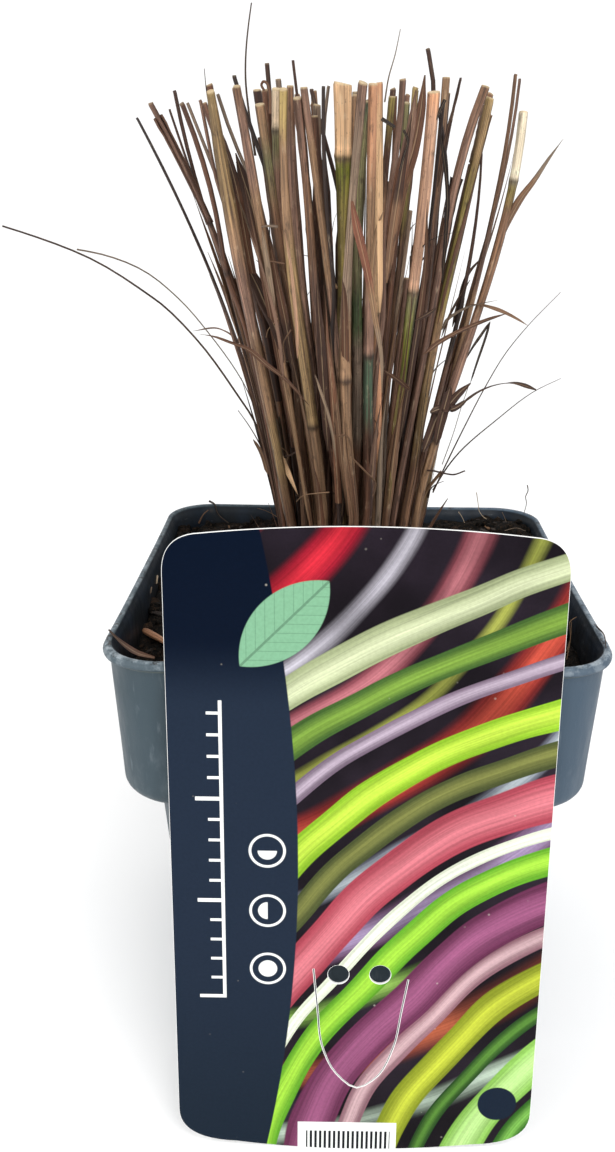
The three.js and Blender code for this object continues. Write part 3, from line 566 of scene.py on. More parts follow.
def make_material(name, paint, *settings):
    """A material whose paint function gives its colour, roughness, height in millimetres and shine."""
    material = bpy.data.materials.new(name)
    material.use_nodes = True
    tree = material.node_tree
    tree.nodes.clear()
    graph = Graph(tree)
    shader = graph.node("ShaderNodeBsdfPrincipled")
    output = graph.node("ShaderNodeOutputMaterial")
    tree.links.new(shader.outputs[0], output.inputs[0])
    colour, roughness, height, shine = paint(graph, *settings)
    graph.feed(shader.inputs["Base Color"], colour)
    graph.feed(shader.inputs["Roughness"], roughness)
    shader.inputs["Specular IOR Level"].default_value = shine
    if height is not None:
        bump = graph.wire("ShaderNodeBump", {"Strength": 1.0, "Distance": MM, "Height": height})
        graph.feed(shader.inputs["Normal"], bump)
    return material


def add_object(name, data):
    piece = bpy.data.objects.new(name, data)
    bpy.context.scene.collection.objects.link(piece)
    return piece


def final_mesh(piece):
    """The plain mesh that a piece has after its modifiers."""
    ready = bpy.context.evaluated_depsgraph_get()
    return bpy.data.meshes.new_from_object(
        piece.evaluated_get(ready), preserve_all_data_layers=True, depsgraph=ready)


def to_mesh(shape, name):
    """Turns an editing shape into a mesh."""
    mesh = bpy.data.meshes.new(name)
    shape.to_mesh(mesh)
    shape.free()
    return mesh


def mesh_of(name, points, faces=(), edges=()):
    """A mesh from places in millimetres."""
    mesh = bpy.data.meshes.new(name)
    mesh.from_pydata((np.asarray(points, float) * MM).tolist(), list(edges), list(faces))
    return mesh


def mount(piece, nodes=()):
    """Hands a finished piece to the frame."""
    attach(piece, BODY)
    if nodes:
        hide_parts(*nodes)


def smooth(mesh):
    mesh.polygons.foreach_set("use_smooth", [True] * len(mesh.polygons))
    mesh.update()


def make_solid(mesh):
    """Merges what lies on one spot and turns the faces outwards."""
    shape = bmesh.new()
    shape.from_mesh(mesh)
    bmesh.ops.remove_doubles(shape, verts=shape.verts, dist=0.002 * MM)
    bmesh.ops.dissolve_degenerate(shape, edges=shape.edges, dist=0.001 * MM)
    bmesh.ops.recalc_face_normals(shape, faces=shape.faces)
    shape.to_mesh(mesh)
    shape.free()
    smooth(mesh)


def new_tree(name, inputs):
    """A geometry tree with named inputs, its graph, the wires of its inputs and its end."""
    tree = bpy.data.node_groups.new(name, "GeometryNodeTree")
    tree.interface.new_socket("Geometry", in_out="OUTPUT", socket_type="NodeSocketGeometry")
    tree.interface.new_socket("Geometry", in_out="INPUT", socket_type="NodeSocketGeometry")
    for label, kind in inputs:
        tree.interface.new_socket(label, in_out="INPUT", socket_type="NodeSocket" + kind)
    graph = Graph(tree)
    start = graph.node("NodeGroupInput")
    wires = [Wire(graph, start.outputs[i]) for i in range(len(inputs) + 1)]
    return graph, wires, graph.node("NodeGroupOutput")


def close_tree(graph, geometry, finish, end):
    real = graph.wire("GeometryNodeRealizeInstances", {0: geometry})
    painted = graph.wire("GeometryNodeSetMaterial", {"Geometry": real, "Material": finish})
    graph.feed(end.inputs[0], painted)
    return graph.tree


def named(graph, name, kind):
    return graph.wire("GeometryNodeInputNamedAttribute", {"Name": name}, data_type=kind)


def stored(graph, geometry, name, value, kind):
    values = {"Geometry": geometry, "Name": name, "Value": value}
    return graph.wire("GeometryNodeStoreNamedAttribute", values, data_type=kind, domain="POINT")


def sweep_tree(name, flat):
    """Sweeps a round section, or a flat and curled one, along the edges of a mesh."""
    inputs = [("Sides", "Int"), ("Finish", "Material")]
    if flat:
        inputs += [("Curl", "Float"), ("Radius", "Float"), ("Shift", "Float"), ("Thickness", "Float")]
    graph, wires, end = new_tree(name, inputs)
    geometry, sides, finish = wires[:3]
    curve = graph.wire("GeometryNodeMeshToCurve", {0: geometry})
    facing = named(graph, "facing", "FLOAT_VECTOR")
    curve = graph.wire("GeometryNodeSetCurveNormal", {"Curve": curve, "Normal": facing}, mode="FREE")
    section = graph.wire("GeometryNodeCurvePrimitiveCircle", {"Resolution": sides, "Radius": 1.0})
    place = graph.wire("GeometryNodeInputPosition")
    section = stored(graph, section, "ring", place, "FLOAT_VECTOR")
    if flat:
        curl, radius, shift, thickness = wires[3:]
        deep, wide, _ = graph.parts(place)
        turn = wide * curl
        reach = radius + deep * thickness
        bent = graph.vector(reach * graph.maths("COSINE", turn) - shift, reach * graph.maths("SINE", turn))
        section = graph.wire("GeometryNodeSetPosition", {"Geometry": section, "Position": bent})
    size = named(graph, "half_width", "FLOAT")
    swept = graph.wire("GeometryNodeCurveToMesh", {
        "Curve": curve, "Profile Curve": section, "Scale": size, "Fill Caps": True})
    soft = graph.wire("GeometryNodeSetShadeSmooth", {"Geometry": swept})
    return close_tree(graph, soft, finish, end)


def scatter_tree(name):
    """Strews the pieces of a collection over a ground, each turned, sized and sunk at random."""
    inputs = [("Pieces", "Collection"), ("Density", "Float"), ("Seed", "Int"), ("Smallest", "Float"),
              ("Largest", "Float"), ("Lift", "Float"), ("Tumble", "Float"), ("Finish", "Material")]
    graph, wires, end = new_tree(name, inputs)
    ground, pieces, density, seed, smallest, largest, lift, tumble, finish = wires

    def drawn(kind, low, high, step, sockets, out):
        values = {sockets[0]: low, sockets[1]: high, "Seed": seed + step}
        return graph.wire("FunctionNodeRandomValue", values, out=out, data_type=kind)

    points = graph.wire("GeometryNodeDistributePointsOnFaces",
                        {"Mesh": ground, "Density": density, "Seed": seed})
    shade = drawn("FLOAT", 0.0, 1.0, 1, (2, 3), 1)
    points = stored(graph, points, "shade", shade, "FLOAT")
    chance = drawn("FLOAT", 0.0, 1.0, 2, (2, 3), 1)
    size = smallest + (largest - smallest) * chance * chance * chance
    low = graph.vector(tumble * -1.0, tumble * -1.0, 0.0)
    turns = drawn("FLOAT_VECTOR", low, graph.vector(tumble, tumble, 2 * math.pi), 3, (0, 1), 0)
    turned = graph.wire("FunctionNodeEulerToRotation", {0: turns})
    raised = graph.vector(0.0, 0.0, lift * size)
    points = graph.wire("GeometryNodeSetPosition", {"Geometry": points, "Offset": raised})
    chosen = graph.wire("GeometryNodeCollectionInfo", {
        "Collection": pieces, "Separate Children": True, "Reset Children": True})
    strewn = graph.wire("GeometryNodeInstanceOnPoints", {
        "Points": points, "Instance": chosen, "Pick Instance": True, "Rotation": turned, "Scale": size})
    return close_tree(graph, strewn, finish, end)


def grown(name, mesh, tree, inputs):
    """Runs a tree on a mesh and keeps what comes out as a plain mesh in a new piece."""
    guide = add_object(name + "_guide", mesh)
    modifier = guide.modifiers.new("Grow", "NODES")
    modifier.node_group = tree
    for item in tree.interface.items_tree:
        if item.in_out == "INPUT" and item.name in inputs:
            modifier[item.identifier] = inputs[item.name]
    result = final_mesh(guide)
    bpy.data.objects.remove(guide)
    result.name = name
    return add_object(name, result)


class Strands:
    """Paths with a size, a facing and a colour at each of their points, for a sweep to follow."""

    def __init__(self):
        self.points = []
        self.edges = []
        self.values = {"facing": [], "half_width": [], "tone": [], "run": [], "shift": [], "cut": []}

    def add(self, path, half_widths, tones, side, draw, cut=0.0, twist=0.0):
        path = np.asarray(path, float)
        count = len(path)
        first = len(self.points)
        along = np.gradient(path, axis=0)
        along /= np.linalg.norm(along, axis=1)[:, None]
        side = np.asarray(side, float)
        wide = side - along * (along @ side)[:, None]
        wide /= np.linalg.norm(wide, axis=1)[:, None]
        thick = np.cross(wide, along)
        angle = np.linspace(0, twist, count)[:, None]
        facing = thick * np.cos(angle) + wide * np.sin(angle)
        runs = np.concatenate([[0], np.cumsum(np.linalg.norm(np.diff(path, axis=0), axis=1))])
        ends = np.zeros(count)
        ends[-1] = cut
        self.points.extend(path.tolist())
        self.edges.extend((first + k, first + k + 1) for k in range(count - 1))
        self.values["facing"].extend(facing.tolist())
        self.values["half_width"].extend((np.asarray(half_widths) * MM).tolist())
        self.values["tone"].extend([(*tone, 1) for tone in tones])
        self.values["run"].extend(runs.tolist())
        self.values["shift"].extend([(100 * draw(), 100 * draw(), 100 * draw())] * count)
        self.values["cut"].extend(ends.tolist())

    def mesh(self, name):
        made = mesh_of(name, self.points, edges=self.edges)
        kinds = {"facing": ("FLOAT_VECTOR", "vector"), "shift": ("FLOAT_VECTOR", "vector"),
                 "tone": ("FLOAT_COLOR", "color")}
        for key, values in self.values.items():
            kind, field = kinds.get(key, ("FLOAT", "value"))
            layer = made.attributes.new(key, kind, "POINT")
            layer.data.foreach_set(field, np.asarray(values, float).ravel())
        return made


def sweep(name, strands, tree, inputs, nodes=()):
    """Sweeps strands into a piece and hands it to the frame."""
    mount(grown(name, strands.mesh(name + "_paths"), tree, inputs), nodes)


def smooth_path(points, count):
    """A smooth curve through a few points."""
    points = np.asarray(points, float)
    knots = np.concatenate([[0], np.cumsum(np.linalg.norm(np.diff(points, axis=0), axis=1))])
    slopes = np.gradient(points, knots, axis=0)
    places = np.linspace(0, knots[-1], count)
    k = np.clip(np.searchsorted(knots, places, side="right") - 1, 0, len(knots) - 2)
    span = (knots[k + 1] - knots[k])[:, None]
    t = (places - knots[k])[:, None] / span
    start, end = points[k], points[k + 1]
    rise = (3 - 2 * t) * t * t
    return (start * (1 - rise) + end * rise
            + slopes[k] * span * t * (1 - t) ** 2 - slopes[k + 1] * span * t * t * (1 - t))


def rise_at(z):
    return np.maximum(0, (np.asarray(z, float) - FAN_START) / FAN_HEIGHT)


def spread_at(rise):
    return FAN_SPREAD * rise ** FAN_POWER


def fan_points(root, z):
    """Where the fan carries a root to, at each of some heights."""
    z = np.atleast_1d(np.asarray(z, float))
    rise = rise_at(z)
    outer = (math.hypot(*root) / CLUMP_RADIUS) ** 3
    push = LEFT_PUSH * rise * rise * outer * (1 - root[0] / CLUMP_RADIUS)
    angle = FAN_TWIST * rise
    scale = (1 + spread_at(rise)) * (1 + push)
    x = scale * (root[0] * np.cos(angle) - root[1] * np.sin(angle))
    y = scale * (root[0] * np.sin(angle) + root[1] * np.cos(angle))
    sway = SWAY * rise * rise
    return np.stack([
        CROWN[0] + x + FAN_LEAN[0] * rise + sway * np.sin(SWAY_WAVE * y + SWAY_PHASE[0]),
        CROWN[1] + y + FAN_LEAN[1] * rise + sway * np.sin(SWAY_WAVE * x + SWAY_PHASE[1]),
        z], axis=1)


def lattice_point(i, j):
    x, y = CULM_SPACING * (i + j / 2), CULM_SPACING * j * math.sqrt(3) / 2
    cos, sin = math.cos(LATTICE_TURN), math.sin(LATTICE_TURN)
    return x * cos - y * sin, x * sin + y * cos


def tiller_roots():
    reach = range(-TILLER_RINGS, TILLER_RINGS + 1)
    return [[lattice_point(2 * m - n + i, m + 3 * n + j) for i, j in NEIGHBOURS]
            for m in reach for n in reach if abs(m + n) <= TILLER_RINGS]


def sighted(path):
    """How a path looks from the front: across and up on the sight plane, and its nearness."""
    near = (path[:, 1] - EYE[1]) / (SIGHT_PLANE - EYE[1])
    return EYE[0] + (path[:, 0] - EYE[0]) / near, EYE[2] + (path[:, 2] - EYE[2]) / near, near


# The other culms gather behind the shown ones, which leaves gaps of light between them
GATHERED = 0.9
GATHER_LEVELS = (144, 102)
GATHER_RISE = 32
GATHER_TOP = 176
GATHER_REACH = 4.2

# The bends that a shown culm may have, and the height in which it turns back to the fan
SEEN_BENDS = 3
SEEN_EASE = 14


class Culm:
    """A culm of the fan: its wander, radius and cut height are drawn in the CAD's order."""

    def __init__(self, root, draw):
        self.root = root
        angle = 2 * math.pi * draw()
        size = WANDER * math.sqrt(draw())
        self.wander = (size * math.cos(angle), size * math.sin(angle))
        self.radius = lerp(*CULM_RADIUS, draw())
        kind = draw()
        height = draw()
        self.top = CUT_LEVEL + CUT_SPREAD * (height - 0.5)
        if kind < TALL_SHARE:
            self.top = CUT_LEVEL + 2 + 4 * height
        if kind > 1 - BROKEN_SHARE:
            self.top = lerp(*BROKEN_TOPS, height)
        self.phase = 2 * math.pi * draw()
        self.blade = [draw() for _ in range(5)]
        self.arches = []
        self.shown = None
        self.leader = None
        self.slip = 0.0

    def own_path(self, z):
        """The middle of the culm at some heights, as the fan carries it."""
        rise = rise_at(z)
        path = fan_points(self.root, z)
        bow = BOW * np.sin(BOW_WAVE * rise + self.phase) * np.minimum(1, BOW_WAVE * rise)
        path[:, 0] += self.wander[0] * spread_at(rise) + bow * math.cos(self.phase)
        path[:, 1] += self.wander[1] * spread_at(rise) + bow * math.sin(self.phase)
        return path

    def path(self, z):
        """The middle of the culm, drawn sideways to where it is seen, or towards its leader."""
        path = self.own_path(z)
        across, height, near = sighted(path)
        if self.shown is None:
            lead_across, lead_height, _ = sighted(self.leader.path(z))
            order = np.argsort(lead_height)
            away = np.interp(height, lead_height[order], lead_across[order]) - across
            low = lerp(*GATHER_LEVELS, float(smoothstep(self.root[0], -3, 7)))
            pull = GATHERED * smoothstep(height, low, low + GATHER_RISE)
            path[:, 0] += np.clip(away, -GATHER_REACH, GATHER_REACH) * pull * near
            return path
        seen = np.asarray(self.shown[0], float)
        lowest = seen[-1, 1]
        line = np.polynomial.Polynomial.fit(seen[:, 1], seen[:, 0], min(SEEN_BENDS, len(seen) // 2))
        if self.slip is None:
            order = np.argsort(height)
            self.slip = line(lowest) - np.interp(lowest, height[order], across[order])
        below = across + self.slip * smoothstep(height, 92, lowest + 1)
        straight = line(lowest) + line.deriv()(lowest) * (height - lowest)
        below += (straight - below) * smoothstep(height, lowest - SEEN_EASE, lowest)
        across = np.where(height >= lowest, line(height), below)
        path[:, 0] = EYE[0] + (across - EYE[0]) * near
        return path


def make_culms():
    """All culms of the clump, with the shown ones on the nearest places of the lattice."""
    culms = []
    for index, roots in enumerate(tiller_roots()):
        draw = make_draw(TILLER_SEED + TILLER_SEED_STEP * index)
        culms += [Culm(root, draw) for root in roots]
    for blade in [(None, heading) for heading in FRONT_ARCHES] + ARCHING_BLADES:
        heading = math.radians(blade[1])
        facing = [c.root[0] * math.cos(heading) + c.root[1] * math.sin(heading) for c in culms]
        chosen = culms[int(np.argmax(facing))]
        chosen.arches.append(blade)
        chosen.top = max(chosen.top, CUT_LEVEL - CUT_SPREAD)
    free = list(culms)
    for shown in sorted(SHOWN_CULMS, key=lambda entry: -entry[3]):
        place, forward = shown[0][-1], shown[3]

        def misfit(culm):
            path = culm.own_path([place[1]])
            depth = CROWN[1] - forward * CLUMP_RADIUS * (1 + float(spread_at(rise_at(place[1]))))
            return abs(sighted(path)[0][0] - place[0]) + 0.5 * abs(path[0, 1] - depth)
        chosen = min(free, key=misfit)
        free.remove(chosen)
        chosen.shown = shown
        chosen.slip = None
        chosen.path(np.linspace(SOIL_LEVEL, CUT_LEVEL, 60))
        near = sighted(chosen.own_path([shown[0][0][1]]))[2][0]
        chosen.top = EYE[2] + (shown[0][0][1] - EYE[2]) * near
    leaders = [culm for culm in culms if culm.shown and culm.shown[1] >= 1.0 and culm.top > CUT_LEVEL - 6]
    places = [sighted(culm.path([GATHER_TOP]))[0][0] for culm in leaders]
    for culm in free:
        across = sighted(culm.own_path([GATHER_TOP]))[0][0]
        culm.leader = leaders[int(np.argmin(np.abs(np.array(places) - across)))]
        culm.top = min(culm.top, CUT_LEVEL + 0.8)
    return culms


def read_colours(words, top):
    """Splits a line of colours and heights into stretches and nodes, from the cut down."""
    stretches = [(top + 5, PALETTE[words.split()[0]])]
    nodes = []
    height = None
    for word in words.split()[1:]:
        if word in PALETTE:
            stretches.append((height, PALETTE[word]))
        elif "=" not in word:
            height = float(word.lstrip("o"))
            if word.startswith("o"):
                nodes.append(height)
    return stretches, nodes


def read_widths(words):
    """The heights and widths that a line of colours holds, from the foot up."""
    return [tuple(map(float, word.split("="))) for word in reversed(words.split()) if "=" in word]


LEAST_FADE = 1.2
NODE_LENGTH = 0.55
BASE_TONE = "umber"
DULL_FOOT = (94, 116)
# Painted shade inside the clump: the stems grow darker below FOOT_LEVELS, a little on the shown culms
# (SHOWN_SHADE) and much more on the culms behind them (HIDDEN_SHADE). Those culms are also darker all the way
# up and warmed by HIDDEN_TINT
FOOT_LEVELS = (104, 140)
SHOWN_SHADE = (0.94, 1.06)
HIDDEN_SHADE = (0.46, 0.84)
HIDDEN_TINT = (1.05, 0.93, 0.82)
SLIM_SHARE = 0.46


def tones_at(heights, stretches, nodes, draw, shade=HIDDEN_SHADE):
    """The colour of a stem at some heights: its stretches, darker nodes, a dull foot, and painted shade that
    darkens it lower down and on the culms behind.
    """
    heights = np.asarray(heights, float)
    tones = np.tile(np.array(stretches[0][1]), (len(heights), 1))
    for height, colour in stretches[1:]:
        share = smoothstep(height - heights, -LEAST_FADE, LEAST_FADE)[:, None]
        tones = tones * (1 - share) + np.array(colour) * share
    foot = 0.5 * (1 - smoothstep(heights, *DULL_FOOT))[:, None]
    tones = tones * (1 - foot) + np.array(PALETTE[BASE_TONE]) * foot
    for node in nodes:
        ring = np.exp(-((heights - node) / NODE_LENGTH) ** 2)[:, None]
        above = np.exp(-((heights - node - 1.6) / 0.8) ** 2)[:, None]
        tones = tones * (1 + 0.35 * above)
        tones = tones * (1 - 0.72 * ring)
    # Painted shade: darker towards the foot, and darker still on the culms behind
    level = (0.88 + 0.24 * draw()) * lerp(*shade, smoothstep(heights, *FOOT_LEVELS))[:, None]
    return np.clip(tones * level, 0.004, 0.95)


# The colours of the other culms; what is named more than once is drawn more often
SEEDED_TOPS = ("tan mauve brown brown umber grey clay rust "
               "mauve olive brown umber clay brown dark mauve").split()
SEEDED_BODIES = ("brown mauve tan rust umber mauve brown tan "
                 "olive umber rust tan grey brown mauve dark").split()


def seeded_colours(top, draw):
    """The colours of a culm that isn't one of the shown ones."""
    start = one_of(SEEDED_TOPS, draw)
    body = one_of(SEEDED_BODIES, draw)
    lower = one_of(SEEDED_BODIES, draw)
    change = top - 6 - 26 * draw()
    second = change - 14 - 26 * draw()
    stretches = [(top + 5, PALETTE[start]), (change, PALETTE[body]), (second, PALETTE[lower])]
    nodes = [change] if draw() < 0.7 else []
    if draw() < 0.5:
        nodes.append(second)
    return stretches, nodes


def stem_heights(culm, nodes, steps):
    """Heights along a culm, closer together at its nodes and at the cut."""
    heights = list(np.linspace(CULM_FOOT + 2, culm.top - 0.5, steps))
    for node in nodes:
        heights += [node + offset for offset in (-1.5, -0.8, -0.35, 0, 0.35, 0.8, 1.6, 2.4)]
    heights = sorted(h for h in heights if CULM_FOOT + 2 <= h <= culm.top - 0.4)
    kept = [heights[0]]
    for height in heights[1:]:
        if height - kept[-1] > 0.2:
            kept.append(height)
    return np.array([h for h in kept if h < culm.top - 0.9] + [culm.top - 0.7, culm.top - 0.3, culm.top])


def add_culm(strands, culm, settings, draw):
    """One culm, as a path with its thickness, nodes and colours."""
    if culm.shown:
        _, at_cut, at_foot, _, words = culm.shown
        stretches, nodes = read_colours(words, culm.top)
        widths = [(CULM_FOOT, at_foot), *read_widths(words), (culm.top, at_cut)]
    else:
        stretches, nodes = seeded_colours(culm.top, draw)
        slim = SLIM_SHARE * culm.leader.shown[1]
        widths = [(CULM_FOOT, 2 * culm.radius), (culm.top, 2 * min(slim, culm.radius * CULM_TOP_SHARE))]
        # The culms behind are warmed by HIDDEN_TINT, as part of the painted shade inside the clump
        stretches = [(height, np.array(colour) * HIDDEN_TINT) for height, colour in stretches]
    heights = stem_heights(culm, nodes, 26)
    thickness = np.interp(heights, *zip(*widths)) / 2 * settings.thickness
    for node in nodes:
        thickness = thickness * (1 + 0.13 * np.exp(-((heights - node) / 0.7) ** 2))
        thickness = thickness * (1 + 0.05 * np.exp(-np.maximum(0, heights - node) / 9) * (heights > node))
    thickness = thickness * (1 + 0.035 * np.sin(heights * 0.31 + 40 * draw()))
    thickness[-1] *= 0.94
    tones = tones_at(heights, stretches, nodes, draw, SHOWN_SHADE if culm.shown else HIDDEN_SHADE)
    culm.nodes = nodes
    culm.thickness = (heights, thickness)
    path = culm.path(heights)
    turn, slant = 2 * math.pi * draw(), (0.1 if culm.shown else 0.17) * draw()
    path[-1] += (slant * math.cos(turn), slant * math.sin(turn), 0)
    pale = float(np.clip((thickness[-1] - 0.28) / 0.35, 0, 0.85))
    strands.add(path, thickness, tones, (1, 0, 0), draw, cut=pale)


def add_sheath(strands, culm, draw):
    """A dry leaf sheath that wraps part of a culm from a node upwards."""
    heights, thickness = culm.thickness
    base = culm.nodes[-1] if culm.nodes and draw() < 0.6 else 98 + 40 * draw()
    length = 10 + 18 * draw()
    top = min(base + length, culm.top - 2)
    if top - base < 8:
        return
    z = np.linspace(base, top, 14)
    share = (z - base) / (top - base)
    width = np.interp(z, heights, thickness) * 1.05 + 0.1 + 0.28 * share ** 3
    width = torn(width, 0.08, draw)
    path = culm.path(z)
    turn = 2 * math.pi * draw()
    name = one_of("mauve brown tan umber clay umber grey dark".split(), draw)
    tones = np.array(PALETTE[name]) * (0.8 + 0.35 * draw()) * np.linspace(0.8, 1.1, len(z))[:, None]
    strands.add(path, width, tones, (math.cos(turn), math.sin(turn), 0), draw)


def torn(half, amount, draw):
    """Half-widths with the uneven edge of a torn leaf."""
    return half * (1 + amount * np.array([2 * draw() - 1 for _ in half]))


def outward(root):
    length = math.hypot(*root)
    out = np.array([root[0] / length, root[1] / length, 0])
    return out, np.array([-out[1], out[0], 0])


def any_way(draw):
    """A level direction that is drawn at random."""
    angle = 2 * math.pi * draw()
    return np.array([math.cos(angle), math.sin(angle), 0])


def blade_tones(words, heights, draw):
    stretches, _ = read_colours(words, 300)
    return tones_at(np.maximum(heights, 125), stretches, [], draw, SHOWN_SHADE)


def add_seeded_blade(strands, culm, draw):
    """The blade of an outermost culm, by the CAD's rule."""
    chance, where, long, lean, wide = culm.blade
    foot = lerp(*BLADE_FEET, where)
    inner = math.hypot(*culm.root) <= OUTER_RING
    if inner or chance > 0.9 or foot > culm.top - 8 or culm.arches:
        return
    length, width = lerp(*BLADE_LENGTHS, long), lerp(*BLADE_WIDTHS, wide)
    out, side = outward(culm.root)
    slant = lerp(*BLADE_SLANTS, lean * lean) * (1 - 0.95 * float(smoothstep(abs(out[0]), 0.2, 0.6)))
    share = np.linspace(0, 1, 18)
    z = foot + length * (share - 0.35 * slant * share * share)
    path = culm.path(z) + out * (length * slant * 0.8 * share ** 1.6 + 0.5)[:, None]
    path += side * (0.5 * np.sin(5 * share + 6 * draw()))[:, None] * share[:, None]
    swell = np.sin(math.pi * (0.28 + 0.68 * share))
    half = torn(np.maximum(0.12, width * swell * (1 - share ** 6)) / 2, 0.1, draw)
    name = one_of("brown umber mauve rust tan dark brown grey".split(), draw)
    strands.add(path, half, blade_tones(name, z, draw), side, draw, twist=2.2 * (draw() - 0.5))


def add_arching_blade(strands, culm, reach, foot, width, colour, draw):
    """A blade that arches out of the clump from one of its outer culms."""
    out, side = outward(culm.root)
    start = culm.path([foot])[0]
    path = smooth_path([start + out * away + np.array([0, 0, up]) for away, up in reach], 28)
    share = np.linspace(0, 1, len(path))
    half = np.maximum(0.1, width * (1 - 0.6 * share ** 2) * (1 - share ** 8)) / 2
    strands.add(path, half, blade_tones(colour, path[:, 2], draw), side, draw, twist=1.6 * (draw() - 0.5))


def seen_path(places, depth, count):
    """A path through places that are given as they look from the front."""
    points = []
    for index, (x, z) in enumerate(places):
        if isinstance(depth, tuple):
            y = lerp(*depth, index / (len(places) - 1))
        else:
            rise = float(rise_at(z))
            middle = CROWN[0] + FAN_LEAN[0] * rise
            radius = (CLUMP_RADIUS - 1) * (1 + float(spread_at(rise)))
            side = min(0.96, abs(x - middle) / radius)
            y = CROWN[1] - depth * radius * math.sqrt(1 - side * side)
        near = (y - EYE[1]) / (SIGHT_PLANE - EYE[1])
        points.append((EYE[0] + (x - EYE[0]) * near, y, EYE[2] + (z - EYE[2]) * near))
    return smooth_path(points, count)


def add_shown_blade(strands, places, widths, depth, words, draw):
    path = seen_path(places, depth, 22)
    share = np.linspace(0, 1, len(path))
    half = np.interp(share, [0, 0.5, 1], widths) / 2
    half = half * np.minimum(1, 6 * share + 0.25) * np.minimum(1, 6.25 - 6 * share)
    tones = blade_tones(words, path[:, 2], draw)
    strands.add(path, half, tones, (1, 0.15, 0), draw, twist=1.2 * (draw() - 0.5))


def add_inner_blade(strands, culm, draw):
    """A narrow dry blade that runs up between the culms."""
    foot = 92 + 44 * draw() ** 1.4
    length = 16 + 32 * draw()
    top = min(foot + length, culm.top - 1)
    z = np.linspace(foot, top, 14)
    share = np.linspace(0, 1, len(z))
    away = any_way(draw)
    shift = 0.7 + 0.5 * draw() + (0.5 + 2.0 * draw() ** 2) * share ** 2
    path = culm.path(z) + away * shift[:, None]
    path += np.cross(away, (0, 0, 1)) * (0.6 * np.sin(4 * share + 6 * draw()))[:, None] * share[:, None]
    width = 0.4 + 0.7 * draw() ** 1.5
    half = torn(width / 2 * np.clip(np.sin(math.pi * (0.12 + 0.86 * share)), 0.12, 1), 0.14, draw)
    name = one_of("dark umber mauve brown dark rust clay umber black umber brown dark".split(), draw)
    strands.add(path, half, blade_tones(name, z, draw), away, draw, twist=3.0 * (draw() - 0.5))


def add_seeded_hair(strands, culm, draw):
    """A hair or shred of a leaf, which leaves a culm and curls."""
    foot = 98 + 66 * draw() ** 0.8
    away = any_way(draw)
    out = outward(culm.root)[0] if math.hypot(*culm.root) > 0 else away
    reach = 2 + 7 * draw() ** 2
    rise = 4 + 10 * draw()
    share = np.linspace(0, 1, 9)
    start = culm.path([min(foot, culm.top - 1)])[0] + away * culm.radius
    drift = away * 0.5 + out * 0.5
    curl = np.cross(away, (0, 0, 1)) * (1.4 * np.sin(5 * share * draw()))[:, None]
    path = start + drift * (reach * share ** 1.4)[:, None] + curl
    path[:, 2] += rise * share * (1 - 0.35 * share)
    path[:, 2] = np.minimum(path[:, 2], CUT_LEVEL + 6)
    half = (0.1 + 0.12 * draw()) * (1 - 0.75 * share)
    name = one_of("dark umber tan brown black straw".split(), draw)
    strands.add(path, half, blade_tones(name, path[:, 2], draw), away, draw)


def add_crown_shred(strands, draw):
    """A torn shred of an old sheath round the foot of the clump."""
    angle = 2 * math.pi * draw()
    radius = CLUMP_RADIUS * (0.75 + 0.35 * draw())
    out = np.array([math.cos(angle), math.sin(angle), 0])
    foot = np.array([CROWN[0], CROWN[1], 0]) + out * radius
    foot[2] = soil_height(foot[0], foot[1]) - 1.0
    share = np.linspace(0, 1, 10)
    length = 7 + 14 * draw()
    lean = 0.12 + 0.35 * draw() ** 2
    path = foot + out * (length * lean * share ** 1.5)[:, None]
    path[:, 2] += length * share
    path += np.cross(out, (0, 0, 1)) * (2.0 * (draw() - 0.5) * share)[:, None]
    half = (0.35 + 0.5 * draw()) * np.clip(1.1 - share ** 2, 0.1, 1)
    name = one_of("umber brown dark rust tan black umber brown".split(), draw)
    tone = np.array(PALETTE[name]) * (0.7 + 0.4 * draw())
    side = np.cross(out, (0, 0, 1))
    strands.add(path, half, np.tile(tone, (len(path), 1)), side, draw, twist=2.0 * (draw() - 0.5))


def strand_noise(graph, across, along, detail, roughness):
    """Noise on a strand, stretched along it and different on each strand."""
    x, y, _ = graph.parts(graph.attribute("ring", 1))
    place = graph.vector(x * across, y * across, graph.attribute("run", 2) * along)
    return graph.noise(graph.moved(place, graph.attribute("shift", 1)), 1, detail, roughness)


